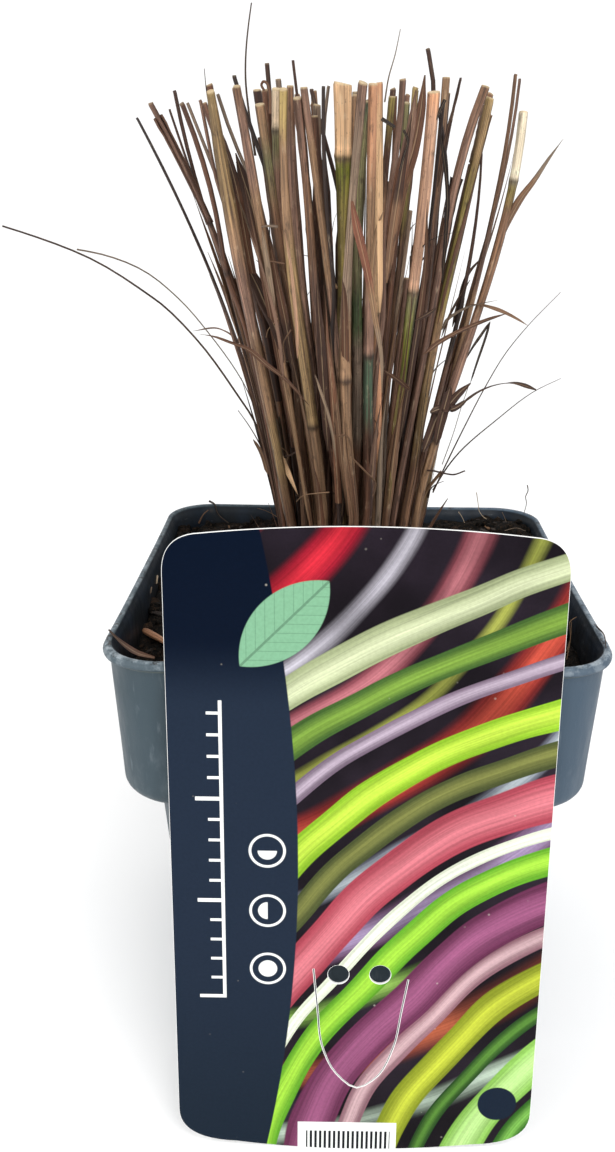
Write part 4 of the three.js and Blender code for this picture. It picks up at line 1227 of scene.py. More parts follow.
def paint_stem(graph):
    """Straw with long streaks, stains, painted shade on its flanks and a paler cut end."""
    tone = graph.attribute("tone", 0)
    streak = strand_noise(graph, 1.6, 0.05, 4, 0.55)
    fine = strand_noise(graph, 5.5, 0.16, 3, 0.6)
    stain = strand_noise(graph, 0.9, 0.35, 4, 0.6)
    speck = strand_noise(graph, 4, 2.4, 2, 0.5)
    line = strand_noise(graph, 3.2, 0.035, 2, 0.5)
    _, wide, _ = graph.parts(graph.attribute("ring", 1))
    strength = graph.step(graph.parts(tone)[0], 0.08, 0.5, 1, 0.5)
    colour = graph.tinted(tone, graph.step(streak, 0.25, 0.75, -0.62, 0.62) * strength + 1)
    colour = graph.tinted(colour, graph.step(fine, 0.3, 0.7, -0.46, 0.4) * strength + 1)
    furrow = graph.step(abs(line - 0.5), 0.01, 0.045, 0.72, 0) * strength
    colour = graph.mix(furrow, colour, srgb(64, 36, 25))
    # Painted shade: each strand is darkened on its flanks and lightened a little along its middle
    colour = graph.tinted(colour, graph.step(abs(wide), 0.5, 1, 1.04, 0.74))
    dark = graph.step(stain, 0.56, 0.72, 0, 0.62)
    colour = graph.mix(dark, colour, srgb(52, 38, 30))
    colour = graph.mix(graph.step(speck, 0.62, 0.74, 0, 0.5), colour, srgb(36, 27, 22))
    pale = graph.step(stain, 0.42, 0.26, 0, 0.28)
    colour = graph.mix(pale, colour, srgb(206, 182, 150))
    pith = graph.mix(graph.noise(graph.place(), 1.7, 2), srgb(150, 122, 88), srgb(226, 206, 164))
    colour = graph.mix(graph.attribute("cut", 2), colour, pith)
    roughness = graph.step(fine, 0.2, 0.8, 0.42, 0.72)
    return colour, roughness, streak * 0.16 + fine * 0.1, 0.4


def paint_blade(graph):
    """A dry leaf with a rib, fine veins, stains and a frayed pale edge."""
    tone = graph.attribute("tone", 0)
    _, wide, _ = graph.parts(graph.attribute("ring", 1))
    vein = graph.maths("SINE", wide * 21)
    rib = graph.step(abs(wide), 0.02, 0.16, 1, 0)
    streak = strand_noise(graph, 2.6, 0.07, 4, 0.6)
    stain = strand_noise(graph, 0.8, 0.3, 4, 0.62)
    colour = graph.tinted(tone, graph.step(streak, 0.25, 0.75, 0.58, 1.35))
    colour = graph.tinted(colour, vein * 0.22 + 1)
    colour = graph.mix(rib * 0.35, colour, srgb(196, 168, 132))
    colour = graph.mix(graph.step(stain, 0.55, 0.72, 0, 0.6), colour, srgb(44, 32, 26))
    colour = graph.mix(graph.step(stain, 0.4, 0.24, 0, 0.3), colour, srgb(190, 160, 126))
    roughness = graph.step(streak, 0.2, 0.8, 0.48, 0.78)
    return colour, roughness, vein * 0.02 + streak * 0.14 + rib * 0.03, 0.35


def soil_height(x, y):
    """The height of the soil's surface."""
    mound, mound_radius = SOIL_MOUND
    corner, corner_radius, corner_x, corner_y = CORNER_MOUND
    height = SOIL_LEVEL + SOIL_FALL[0] * x + SOIL_FALL[1] * y
    height += mound * math.exp(-((x - CROWN[0]) ** 2 + (y - CROWN[1]) ** 2) / mound_radius ** 2)
    height += corner * math.exp(-((x - corner_x) ** 2 + (y - corner_y) ** 2) / corner_radius ** 2)
    return height + SOIL_SWELL * sum(math.sin(a * x + b * y + i) for i, (a, b) in enumerate(SOIL_WAVES))


def rounded_square(half, flare):
    """A ring of points on a square with round corners, which may flare a little."""
    if half == 0:
        return np.zeros((4 * (CORNER_STEPS + SIDE_STEPS), 2))
    corner = half * CORNER_SHARE
    inner = half - corner
    quarter = []
    for k in range(CORNER_STEPS):
        angle = math.pi / 2 * k / CORNER_STEPS
        quarter.append((inner + corner * math.cos(angle), inner + corner * math.sin(angle)))
    for k in range(SIDE_STEPS):
        quarter.append((inner * (1 - 2 * k / SIDE_STEPS), half))
    quarter = np.array(quarter)
    near = np.minimum(abs(quarter[:, 0]), abs(quarter[:, 1])) / half
    quarter = quarter * (1 + flare * near ** 3 / half)[:, None]
    rings = []
    for turn in range(4):
        cos, sin = round(math.cos(turn * math.pi / 2)), round(math.sin(turn * math.pi / 2))
        rings.append(quarter @ np.array([[cos, sin], [-sin, cos]]))
    return np.concatenate(rings)


def square_turned(name, profile):
    """A closed shape whose level sections are rounded squares. Returns its mesh."""
    rings = []
    for half, z in profile:
        flare = CORNER_FLARE * float(smoothstep(z, COLLAR_FOOT, 97.5))
        flat = rounded_square(half, flare)
        rings.append(np.column_stack([flat, np.full(len(flat), z)]))
    count = len(rings[0])
    faces = []
    for ring in range(len(rings) - 1):
        for k in range(count):
            after = (k + 1) % count
            faces.append((ring * count + k, ring * count + after,
                          (ring + 1) * count + after, (ring + 1) * count + k))
    mesh = mesh_of(name, np.concatenate(rings), faces)
    make_solid(mesh)
    return mesh


def arc(centre, radius, start, end, steps):
    """Points on an arc in a profile, with its angles in degrees."""
    angles = np.radians(np.linspace(start, end, steps + 1))
    return [(centre[0] + radius * math.cos(a), centre[1] + radius * math.sin(a)) for a in angles]


def stretch(start, end, steps):
    """The points between two places of a profile, without the first one."""
    shares = [k / steps for k in range(1, steps + 1)]
    return [(lerp(start[0], end[0], share), lerp(start[1], end[1], share)) for share in shares]


def pot_profile(pot):
    """The pot's section, from the middle of its base, up outside and down inside."""
    height, rim, collar = pot.height / MM, pot.rim / MM, pot.collar / MM
    collar_foot, body, base = pot.collar_foot / MM, pot.body / MM, pot.base / MM
    bend = (collar_foot - SHOULDER_ROUND, COLLAR_FOOT)
    bead = height - BEAD_HEIGHT
    lip = rim - LIP_WIDTH
    outside = [(0, 0.25), (base - 6, 0.25), (base - 5.2, 0)]
    outside += arc((base - EDGE_ROUND, EDGE_ROUND), EDGE_ROUND, -90, 0, 4)
    outside += stretch(outside[-1], (body, COLLAR_FOOT - SHOULDER_ROUND - GAP), 8)
    outside += arc(bend, SHOULDER_ROUND, -90, 0, 8)
    outside += stretch(outside[-1], (collar, bead - 0.5), 6)
    outside += [(collar + 0.12, bead - 0.1), (collar + 0.5, bead + 0.1)]
    outside += arc((rim - 0.75, bead + 0.85), 0.75, -25, 50, 5)
    outside += [(rim - 0.38, height - 0.12), (rim - 0.6, height)]
    inside = [(lip + 0.3, height), (lip + 0.08, height - 0.12), (lip, height - 0.4)]
    inside += stretch(inside[-1], (collar - WALL, bead - 0.2), 2)
    inside += stretch(inside[-1], (collar_foot - WALL, COLLAR_FOOT), 5)
    inside += arc(bend, SHOULDER_ROUND - WALL, 0, -90, 6)[1:]
    inside += [(body - WALL, COLLAR_FOOT - SHOULDER_ROUND + WALL - GAP)]
    inside += stretch(inside[-1], (base - WALL, FLOOR + EDGE_ROUND), 6)
    inside += [(base - WALL - EDGE_ROUND, FLOOR), (0, FLOOR)]
    return outside + inside, len(outside)


def drill(piece, x, y, radius):
    """Cuts a round drainage hole through the floor of the pot."""
    cutter = bmesh.new()
    bmesh.ops.create_cone(cutter, cap_ends=True, segments=32, radius1=radius * MM, radius2=radius * MM,
                          depth=4 * FLOOR * MM, matrix=Matrix.Translation((x * MM, y * MM, 0)))
    tool = add_object("drill", to_mesh(cutter, "drill"))
    cut = piece.modifiers.new("Drain", "BOOLEAN")
    cut.object = tool
    cut.operation = "DIFFERENCE"
    cut.solver = "EXACT"
    result = final_mesh(piece)
    piece.modifiers.remove(cut)
    piece.data = result
    bpy.data.objects.remove(tool)


def paint_pot(graph, pot):
    """Moulded plastic with scuffs, dust, soil marks and a worn lip, and painted light and shade: a lighter
    right side, a lighter top face on the lip and near-black inner walls.
    """
    place = graph.place()
    x, y, z = graph.parts(place)
    inner = graph.attribute("inside", 2)
    broad = graph.noise(place, 0.035, 3)
    scuff = graph.noise(graph.scaled(place, 1.1, 1.1, 0.22), 0.55, 5, 0.62)
    grain = graph.noise(place, 2.6, 3, 0.6)
    mist = graph.noise(graph.scaled(place, 1, 1, 0.5), 0.13, 5, 0.65)
    # Painted light and shade: the plastic turns from pot.plastic on the left to pot.shadow_side on the right,
    # which is lighter and bluer
    lit_right_share = graph.step(x, -30, 40)
    plastic = graph.mix(lit_right_share, pot.plastic, pot.shadow_side)
    colour = graph.mix(graph.step(broad, 0.3, 0.7), graph.tinted(plastic, 0.93), graph.tinted(plastic, 1.07))
    colour = graph.mix(graph.step(scuff, 0.58, 0.78, 0, 0.14), colour, pot.dust)
    colour = graph.mix(graph.step(mist, 0.5, 0.75, 0, 0.12), colour, pot.dust)
    lower = graph.step(z, 66, 30)
    colour = graph.mix(lower * 0.1, colour, srgb(140, 142, 140))
    # Painted shade: the inner walls below the lip are made near-black navy, for the shade inside the pot
    inside = graph.step(z, 97.4, 96.9) * inner
    wall = graph.mix(graph.step(mist, 0.35, 0.7), srgb(2, 9, 17), srgb(12, 27, 42))
    colour = graph.mix(inside * 0.95, colour, wall)
    soil_line = graph.step(z + graph.noise(place, 0.3, 4) * 7, 99, 93.5) * inner
    colour = graph.mix(soil_line * 0.6, colour, srgb(20, 17, 15))
    smear = graph.step(graph.noise(graph.scaled(place, 0.5, 0.5, 1.6), 0.7, 4, 0.7), 0.62, 0.72)
    colour = graph.mix(inside * smear * 0.12, colour, pot.dust)
    under = graph.step(abs(z - 95.55), 0.35, 0.1) * (1 - inner)
    colour = graph.mix(under * 0.45, colour, srgb(104, 112, 100))
    lip = graph.step(z, 97, 97.4)
    chip = graph.step(graph.noise(place, 0.9, 4, 0.7), 0.5, 0.62)
    worn = graph.step(graph.noise(place, 0.35, 5, 0.7), 0.42, 0.6)
    front = graph.step(y, 40, -40, 0.25, 1)
    # Painted light: the top face of the lip is a brighter copy of the plastic, where it faces up to the light
    colour = graph.mix(lip * 0.85, colour, graph.tinted(plastic, 1.25))
    rim = graph.most(lip, graph.step(z, 95.8, 96.6) * (1 - inner) * 0.5)
    colour = graph.mix(rim * (worn * 0.5 + 0.12) * front, colour, pot.dust)
    mark = graph.step(graph.noise(place, 0.42, 4, 0.7), 0.57, 0.64)
    colour = graph.mix(lip * mark * pot.dirt, colour, srgb(44, 38, 34))
    speck = graph.step(graph.cells(place, 0.16), 0.14, 0.05)
    sparse = graph.step(graph.noise(place, 0.06, 2), 0.48, 0.6)
    colour = graph.mix(speck * sparse * pot.dirt, colour, srgb(46, 40, 35))
    roughness = graph.step(scuff, 0.25, 0.8, 0.4, 0.62) + lower * 0.1
    height = grain * 0.02 + scuff * 0.03 - lip * chip * 0.14 - lip * mark * 0.1
    return colour, roughness, height, 0.3


def paint_soil(graph, soil):
    """Dark peat with paler crumbs and fibres."""
    place = graph.place()
    clod = graph.noise(place, 0.5, 6, 0.7)
    grit = graph.cells(place, 1.1)
    shade = graph.attribute("shade", 2)
    deep, dry = graph.tinted(soil.peat, 0.45), graph.tinted(soil.peat, 1.5)
    colour = graph.mix(graph.step(clod, 0.3, 0.72), deep, dry)
    colour = graph.mix(graph.step(shade, 0.75, 1, 0, 0.6), colour, soil.bark)
    colour = graph.mix(graph.step(grit, 0.16, 0.05, 0, 0.3), colour, srgb(84, 66, 50))
    thread = graph.noise(graph.scaled(place, 0.5, 1.4, 1), 1.3, 3, 0.5)
    fibre = graph.step(abs(thread - 0.5), 0.012, 0.003, 0, 0.4)
    colour = graph.mix(fibre, colour, srgb(112, 84, 60))
    return colour, 0.93, clod * 0.8 + grit * 0.25, 0.15


def paint_bark(graph, soil):
    """Bits of bark and wood, some of them pale."""
    place = graph.place()
    shade = graph.attribute("shade", 2)
    grain = graph.noise(graph.scaled(place, 3, 1, 3), 0.8, 4, 0.6)
    colour = graph.mix(graph.step(shade, 0.2, 1), graph.tinted(soil.bark, 0.55), soil.bark)
    colour = graph.mix(graph.step(shade, 0.9, 0.96, 0, 0.8), colour, srgb(120, 88, 60))
    colour = graph.tinted(colour, graph.step(grain, 0.3, 0.7, 0.6, 1.25))
    return colour, 0.85, grain * 0.3, PLAIN_SHINE


def circle_edge(graph, u, s, centre, radius, soft=0.12):
    """One inside a circle on the card, and nothing outside it."""
    away = graph.maths("SQRT", (u - centre[0]) ** 2 + (s - centre[1]) ** 2)
    return graph.step(away, radius + soft, radius - soft), away


def band(graph, value, low, high, soft=0.08):
    """One where a value lies between two limits."""
    return graph.step(value, low - soft, low + soft) * graph.step(value, high + soft, high - soft)


# The ribbons of the label's picture, in two fans that cross: the middle of each fan, how
# soft its edges are, and then the radius, width, edge colour and middle colour of each
LABEL_FANS = [
    ((-46, 150), 0.3, [
        (38, 5, (150, 50, 56), (206, 84, 84)), (50, 7.5, (150, 24, 44), (214, 46, 62)),
        (61, 3, (130, 126, 134), (190, 186, 196)), (71, 5, (130, 66, 76), (190, 116, 124)),
        (80, 3, (118, 122, 60), (170, 176, 82)), (90, 7, (140, 44, 42), (206, 84, 66)),
        (102, 4, (114, 118, 130), (176, 186, 192)), (113, 7, (106, 76, 104), (162, 142, 176)),
        (125, 5, (78, 106, 50), (132, 172, 80)), (137, 7, (110, 54, 46), (176, 92, 64)),
        (150, 4, (120, 134, 120), (178, 196, 178))]),
    ((74, -22), 0.04, [
        (45, 6, (94, 140, 30), (166, 210, 52)), (52, 4, (50, 104, 34), (120, 180, 80)),
        (59, 7, (134, 186, 84), (190, 230, 146)), (66, 3, (40, 74, 32), (86, 134, 54)),
        (72, 6, (130, 142, 36), (196, 206, 66)), (80, 3.6, (140, 100, 110), (206, 172, 176)),
        (86, 7.4, (100, 46, 76), (158, 90, 128)), (94, 5, (94, 160, 40), (162, 216, 68)),
        (99, 2.2, (216, 222, 200), (232, 236, 220)), (105, 6.6, (164, 66, 80), (214, 122, 132)),
        (113, 4, (70, 78, 44), (122, 126, 68)), (120, 6, (134, 180, 42), (194, 226, 76)),
        (129, 3.6, (120, 102, 120), (182, 166, 182)), (136, 6, (64, 96, 44), (126, 162, 66)),
        (144, 4.6, (150, 160, 120), (206, 214, 174))]),
]
PANEL_CIRCLE = ((-311, 60), 300)
BADGE = ((-13.5, 106), 13.4, 8.2)
RULER = (-24.5, 34, 92, 4)
SIGNS = [(-16.5, 40), (-16.5, 52), (-16.5, 64)]
SIGN_RADIUS = 3.3
BAR_PITCH = 0.9
SPOT = ((27.2, 11), 3.7)


def paint_print(graph, label):
    """The front of the card: a plain strip with a painted reflection, fans of ribbons, a leaf badge, a scale,
    signs and bars.
    """
    card = graph.wire("ShaderNodeUVMap", uv_map="card")
    u, s, _ = graph.parts(graph.scaled(card, label.width / MM, label.length / MM, 1))
    u = u - label.width / MM / 2
    flat = graph.vector(u, s)
    white = srgb(240, 242, 240)

    # Painted reflection: the plain strip is darkest at the top, lightest in the middle and darker again
    # towards the foot, for the sheen of the glossy card
    strip = graph.mix(graph.step(s, 104, 90), srgb(0, 11, 30), label.navy)
    strip = graph.mix(graph.step(s, 50, 0, 0, 0.6), strip, srgb(14, 27, 38))

    dapple = graph.noise(flat, 0.05, 3)
    colour = graph.mix(graph.step(dapple, 0.35, 0.65), graph.tinted(label.plum, 0.5), label.plum)
    for index, (middle_place, soft, ribbons) in enumerate(LABEL_FANS):
        _, away = circle_edge(graph, u, s, middle_place, 1)
        away = away + graph.noise(graph.moved(flat, (40 * index, 0, 0)), 0.022, 1.5) * 8 - 4
        line = graph.noise(graph.vector(away * 2.2, (u + s) * 0.02), 1, 3, 0.6)
        swell = graph.noise(graph.vector(away * 0.05, (u - s) * 0.02, index), 1, 2)
        swell = graph.step(swell, 0.3, 0.7, 0.75, 1.25)
        for radius, width, edge, middle in ribbons:
            off = abs(away - radius) * swell / (width / 2)
            shine = graph.mix(graph.step(off, 0.95, 0), srgb(*edge), srgb(*middle))
            shine = graph.tinted(shine, graph.step(line, 0.25, 0.75, 0.7, 1.12))
            colour = graph.mix(graph.step(off, 1 + soft, 1 - soft), colour, shine)
        if index == 0:
            colour = graph.tinted(colour, graph.step(graph.noise(flat, 0.04, 2), 0.36, 0.62, 0.5, 1))
    glow = graph.noise(flat, 0.035, 2)
    colour = graph.tinted(colour, graph.step(glow, 0.3, 0.7, 0.85, 1))

    panel, _ = circle_edge(graph, u, s, *PANEL_CIRCLE)
    colour = graph.mix(panel, colour, strip)

    centre, radius, shift = BADGE
    lean = shift / math.sqrt(2)
    left, _ = circle_edge(graph, u, s, (centre[0] - lean, centre[1] + lean), radius)
    right, _ = circle_edge(graph, u, s, (centre[0] + lean, centre[1] - lean), radius)
    badge = left * right
    across = (u - centre[0]) - (s - centre[1])
    along = (u - centre[0]) + (s - centre[1])
    fold = graph.maths("PINGPONG", along - abs(across), 1.6)
    rib = graph.most(band(graph, across, -0.3, 0.3), band(graph, fold, 0, 0.14) * 0.7)
    leaf = graph.mix(rib, label.badge, graph.tinted(label.badge, 0.62))
    colour = graph.mix(badge, colour, leaf)

    place, foot, head, pitch = RULER
    tick = abs(graph.maths("FRACT", (s - foot) / pitch + 0.5) - 0.5) * pitch
    long_tick = abs(graph.maths("FRACT", (s - foot) / (5 * pitch) + 0.5) - 0.5) * (5 * pitch)
    ticks = band(graph, u, place - 2.4, place) * graph.step(tick, 0.32, 0.2)
    ticks = graph.most(ticks, band(graph, u, place - 4.6, place) * graph.step(long_tick, 0.42, 0.3))
    marks = graph.most(band(graph, u, place - 0.3, place + 0.3), ticks)
    marks = marks * band(graph, s, foot - 0.3, head + 0.3)
    for index, sign in enumerate(SIGNS):
        disc, far = circle_edge(graph, u, s, sign, SIGN_RADIUS)
        ring = disc * graph.step(far, 2.75, 2.95)
        core, _ = circle_edge(graph, u, s, sign, 1.7)
        if index == 1:
            core = core * graph.step(u, sign[0] + 0.1, sign[0] - 0.1)
        if index == 2:
            core = core * graph.step(s, sign[1] + 0.1, sign[1] - 0.1)
        marks = graph.most(marks, graph.most(ring, core))
    colour = graph.mix(marks, colour, white)

    slab = band(graph, u, -10.9, 8.1) * graph.step(s, 6.3, 6.1)
    bars = graph.step(graph.maths("FRACT", u / BAR_PITCH), 0.42, 0.5)
    bars = bars * band(graph, u, -9.3, 6.9) * graph.step(s, 4.3, 4.1)
    colour = graph.mix(slab, colour, graph.mix(bars, white, srgb(24, 26, 30)))
    spot, _ = circle_edge(graph, u, s, *SPOT)
    colour = graph.mix(spot, colour, srgb(18, 30, 46))

    dust = graph.step(graph.cells(flat, 0.34), 0.1, 0.04)
    dust = dust * graph.step(graph.noise(flat, 0.09, 2), 0.55, 0.62)
    colour = graph.mix(dust * 0.4, colour, srgb(190, 184, 172))
    screen = graph.noise(flat, 1.7, 3)
    colour = graph.tinted(colour, graph.step(screen, 0.3, 0.7, 0.95, 1.05))
    return colour, graph.step(screen, 0.2, 0.8, 0.3, 0.42), screen * 0.01, 0.06


def paint_card(graph, label):
    """Bare white card, with faint fibres."""
    place = graph.place()
    fibre = graph.noise(graph.scaled(place, 1, 1, 0.25), 1.4, 4, 0.6)
    colour = graph.mix(graph.step(fibre, 0.3, 0.7), graph.tinted(label.card, 0.93), label.card)
    return colour, graph.step(fibre, 0.2, 0.8, 0.42, 0.55), fibre * 0.015, PLAIN_SHINE


def paint_floor(graph, stage):
    place = graph.place()
    tint = graph.noise(place, 0.01, 3)
    colour = graph.mix(graph.step(tint, 0.3, 0.7), graph.tinted(stage.floor, 0.985), stage.floor)
    return colour, 0.85, None, PLAIN_SHINE


def chip_collection(name, count, make):
    """A collection of a few different chips to strew."""
    chips = bpy.data.collections.new(name)
    for index in range(count):
        chip = f"{name}_chip_{index}"
        chips.objects.link(bpy.data.objects.new(chip, to_mesh(make(index), chip)))
    return chips


def make_crumb(index):
    """A rough clod of soil of about one unit."""
    shape = bmesh.new()
    bmesh.ops.create_icosphere(shape, subdivisions=2, radius=1)
    for vertex in shape.verts:
        push = noise.noise(vertex.co * 1.3 + Vector((7.1 * index, 0, 3)))
        fine = noise.noise(vertex.co * 3.1 + Vector((0, 5.3 * index, 1)))
        vertex.co *= 0.8 + 0.55 * push + 0.25 * fine
        vertex.co.z *= 0.75
    for face in shape.faces:
        face.smooth = True
    return shape


def make_bark(index):
    """A flat bit of bark of about one unit, with torn ends."""
    shape = bmesh.new()
    bmesh.ops.create_cube(shape, size=1)
    bmesh.ops.subdivide_edges(shape, edges=shape.edges[:], cuts=2, use_grid_fill=True)
    noise.seed_set(index + 1)
    for vertex in shape.verts:
        wobble = noise.noise_vector(vertex.co * 2.3 + Vector((3.7 * index, 1, 2)))
        vertex.co += 0.22 * wobble
        vertex.co = Vector((vertex.co.x * 2.4, vertex.co.y * (0.8 + 0.12 * index), vertex.co.z * 0.4))
    return shape


def clear_chips(chips):
    for piece in list(chips.objects):
        bpy.data.objects.remove(piece)
    bpy.data.collections.remove(chips)


class GRASS_OT_pot(bpy.types.Operator):
    """Make the square nursery pot with its drainage holes"""
    bl_idname = "potted_grass.pot"
    bl_label = "Pot"

    def execute(self, context):
        settings = context.scene.grass_pot
        profile, outside = pot_profile(settings)
        piece = add_object("nursery_pot", square_turned("nursery_pot", profile))
        for x, y, radius in DRAINS:
            for turn in range(4):
                angle = turn * math.pi / 2
                cos, sin = math.cos(angle), math.sin(angle)
                drill(piece, x * cos - y * sin, x * sin + y * cos, radius)
        mesh = piece.data
        inside = mesh.attributes.new("inside", "FLOAT", "POINT")
        heights = [z for _, z in profile[2:outside]]
        halves = [half for half, _ in profile[2:outside]]
        for vertex in mesh.vertices:
            x, y, z = vertex.co / MM
            half = np.interp(z, heights, halves)
            corner = CORNER_SHARE * half
            past = [max(abs(v) - (half - corner), 0) for v in (x, y)]
            reach = math.hypot(*past) - corner
            inside.data[vertex.index].value = 1.0 if reach < -0.45 and z > 1 else 0.0
        mesh.materials.append(make_material("matt_pot_plastic", paint_pot, settings))
        smooth(mesh)
        mesh.set_sharp_from_angle(angle=math.radians(50))
        mount(piece, ["pot"])
        return {"FINISHED"}


class GRASS_OT_soil(bpy.types.Operator):
    """Fill the pot with compost, crumbs and bits of bark"""
    bl_idname = "potted_grass.soil"
    bl_label = "Soil"

    def execute(self, context):
        pot, settings = context.scene.grass_pot, context.scene.grass_soil
        collar_foot, body, base = pot.collar_foot / MM, pot.body / MM, pot.base / MM
        inset = WALL + GAP
        reach = pot.collar / MM - inset
        floor = FLOOR + GAP
        profile = [(0, floor), (base - inset - EDGE_ROUND, floor), (base - inset, floor + EDGE_ROUND),
                   (body - inset, COLLAR_FOOT - SHOULDER_ROUND + WALL)]
        bend = (collar_foot - SHOULDER_ROUND, COLLAR_FOOT)
        profile += arc(bend, SHOULDER_ROUND - inset, -90, 0, 4)
        profile += [(reach * ring / SOIL_RINGS, SOIL_LEVEL) for ring in range(SOIL_RINGS, -1, -1)]
        mesh = square_turned("compost", profile)
        crumbly = 0.85
        for vertex in mesh.vertices:
            if abs(vertex.co.z / MM - SOIL_LEVEL) < GAP:
                x, y = vertex.co.x / MM, vertex.co.y / MM
                rough = noise.fractal(Vector((x, y, 0)) * 0.32, 0.8, 2.0, 4)
                vertex.co.z = (soil_height(x, y) + crumbly * rough) * MM
        piece = add_object("compost", mesh)
        peat = make_material("peat_compost", paint_soil, settings)
        mesh.materials.append(peat)
        smooth(mesh)
        mount(piece, ["soil"])

        ground = bmesh.new()
        ground.from_mesh(mesh)
        low = [face for face in ground.faces if face.calc_center_median().z < 84 * MM or face.normal.z < 0.2]
        bmesh.ops.delete(ground, geom=low, context="FACES")
        top = to_mesh(ground, "ground")
        tree = scatter_tree("Strew")
        bark = make_material("bark_bits", paint_bark, settings)
        # Each kind's name, chip, material, number, seed, least and greatest size, lift and tumble
        strewn = [("compost_crumbs", make_crumb, peat, settings.crumbs, 5, 0.28, 1.9, 0.1, 3.0),
                  ("bark_bits", make_bark, bark, settings.chips, 9, 0.35, 1.05, 0.45, 0.5)]
        for name, make, finish, number, seed, smallest, largest, lift, tumble in strewn:
            chips = chip_collection(name, 4, make)
            inputs = {"Pieces": chips, "Density": number / SQUARE_CM, "Seed": seed, "Smallest": smallest * MM,
                      "Largest": largest * MM, "Lift": lift, "Tumble": tumble, "Finish": finish}
            mount(grown(name, top, tree, inputs))
            clear_chips(chips)
        bpy.data.meshes.remove(top)
        return {"FINISHED"}


class GRASS_OT_clump(bpy.types.Operator):
    """Grow the culms, their sheaths, blades and hairs"""
    bl_idname = "potted_grass.clump"
    bl_label = "Grass clump"

    def execute(self, context):
        settings = context.scene.grass_clump
        draw = make_draw(settings.seed)
        culms = make_culms()
        stem = make_material("dry_stem", paint_stem)
        leaf = make_material("dry_leaf_blade", paint_blade)
        round_sweep = sweep_tree("Round sweep", False)
        flat_sweep = sweep_tree("Flat sweep", True)

        stems = Strands()
        for culm in culms:
            add_culm(stems, culm, settings, draw)
        sweep("grass_culms", stems, round_sweep, {"Sides": 10, "Finish": stem}, TILLERS)

        sheaths = Strands()
        for culm in culms:
            hidden = culm.shown is None or culm.shown[3] < 0.8
            if draw() < 0.6 and hidden:
                add_sheath(sheaths, culm, draw)
        wrap = {"Sides": 18, "Finish": leaf, "Curl": 2.5, "Radius": 1.0, "Shift": 0.0, "Thickness": 0.07}
        sweep("leaf_sheaths", sheaths, flat_sweep, wrap)

        blades = Strands()
        for culm in culms:
            add_seeded_blade(blades, culm, draw)
            for reach, _, *blade in culm.arches:
                if reach:
                    add_arching_blade(blades, culm, reach, *blade, draw)
        for places, widths, depth, words in SHOWN_BLADES:
            add_shown_blade(blades, places, widths, depth, words, draw)
        for _ in range(settings.inner_blades):
            add_inner_blade(blades, one_of(culms, draw), draw)
        for _ in range(settings.shreds):
            add_crown_shred(blades, draw)
        curl = 0.75
        fold = {"Sides": 10, "Finish": leaf, "Curl": curl, "Radius": 1 / math.sin(curl),
                "Shift": math.cos(curl / 2) / math.sin(curl), "Thickness": 0.1}
        sweep("leaf_blades", blades, flat_sweep, fold)

        hairs = Strands()
        for places, thickness, depth, words in SHOWN_HAIRS:
            path = seen_path(places, depth, 24)
            half = np.linspace(*thickness, len(path)) / 2
            hairs.add(path, half, blade_tones(words, path[:, 2], draw), (1, 0.1, 0), draw)
        for _ in range(settings.hairs):
            add_seeded_hair(hairs, one_of(culms, draw), draw)
        sweep("leaf_hairs", hairs, round_sweep, {"Sides": 5, "Finish": leaf})
        return {"FINISHED"}


class GRASS_OT_debris(bpy.types.Operator):
    """Lay the straw, the dry leaf, other loose bits and the pale strokes that stand for glints"""
    bl_idname = "potted_grass.debris"
    bl_label = "Loose bits"

    def execute(self, context):
        draw = make_draw(DEBRIS_SEED)
        stem, leaf = bpy.data.materials["dry_stem"], bpy.data.materials["dry_leaf_blade"]
        round_sweep, flat_sweep = bpy.data.node_groups["Round sweep"], bpy.data.node_groups["Flat sweep"]

        straw = Strands()
        start, end = [np.array(p) for p in STRAW_ENDS]
        level = max(soil_height(*(start + (end - start) * k / 5)) for k in range(6)) + STRAW_RADIUS + GAP
        share = np.linspace(0, 1, 16)[:, None]
        path = np.column_stack([start + (end - start) * share, np.full(len(share), level)])
        path[:, 2] += 0.12 * np.sin(3 * share[:, 0])
        half = STRAW_RADIUS * (1 + 0.08 * np.sin(9 * share[:, 0]))
        half[0] *= 0.8
        half[-1] *= 0.85
        tones = np.array(PALETTE["orange"]) * (0.85 + 0.3 * share)
        straw.add(path, half, tones, (0, 0, 1), draw, cut=1.0)
        sweep("straw_piece", straw, round_sweep, {"Sides": 12, "Finish": stem}, ["straw_bit"])

        strip = Strands()
        level = context.scene.grass_pot.height / MM + GAP + 0.2
        path = smooth_path([(x, y, level + z) for x, y, z in DRY_LEAF_POINTS], 26)
        half = np.interp(np.linspace(0, 5, len(path)), range(6), DRY_LEAF_WIDTHS) / 2
        tones = np.array(PALETTE["umber"]) * np.linspace(0.4, 1.0, len(path))[:, None]
        strip.add(path, half, tones, (1, 1, 0), draw, twist=0.8)
        shape = {"Sides": 12, "Finish": leaf, "Curl": 0.9, "Radius": 1.28, "Shift": 1.05, "Thickness": 0.14}
        sweep("dry_leaf_strip", strip, flat_sweep, shape, ["dry_leaf"])

        bits = Strands()
        for points, thickness, name in LOOSE_BITS_AND_GLINTS:
            path = smooth_path(points, 14)
            half = thickness / 2 * np.linspace(1, 0.55, len(path))
            bits.add(path, half, np.tile(PALETTE[name], (len(path), 1)), (1, 0.3, 0.2), draw)
        sweep("loose_bits", bits, round_sweep, {"Sides": 6, "Finish": leaf})
        return {"FINISHED"}


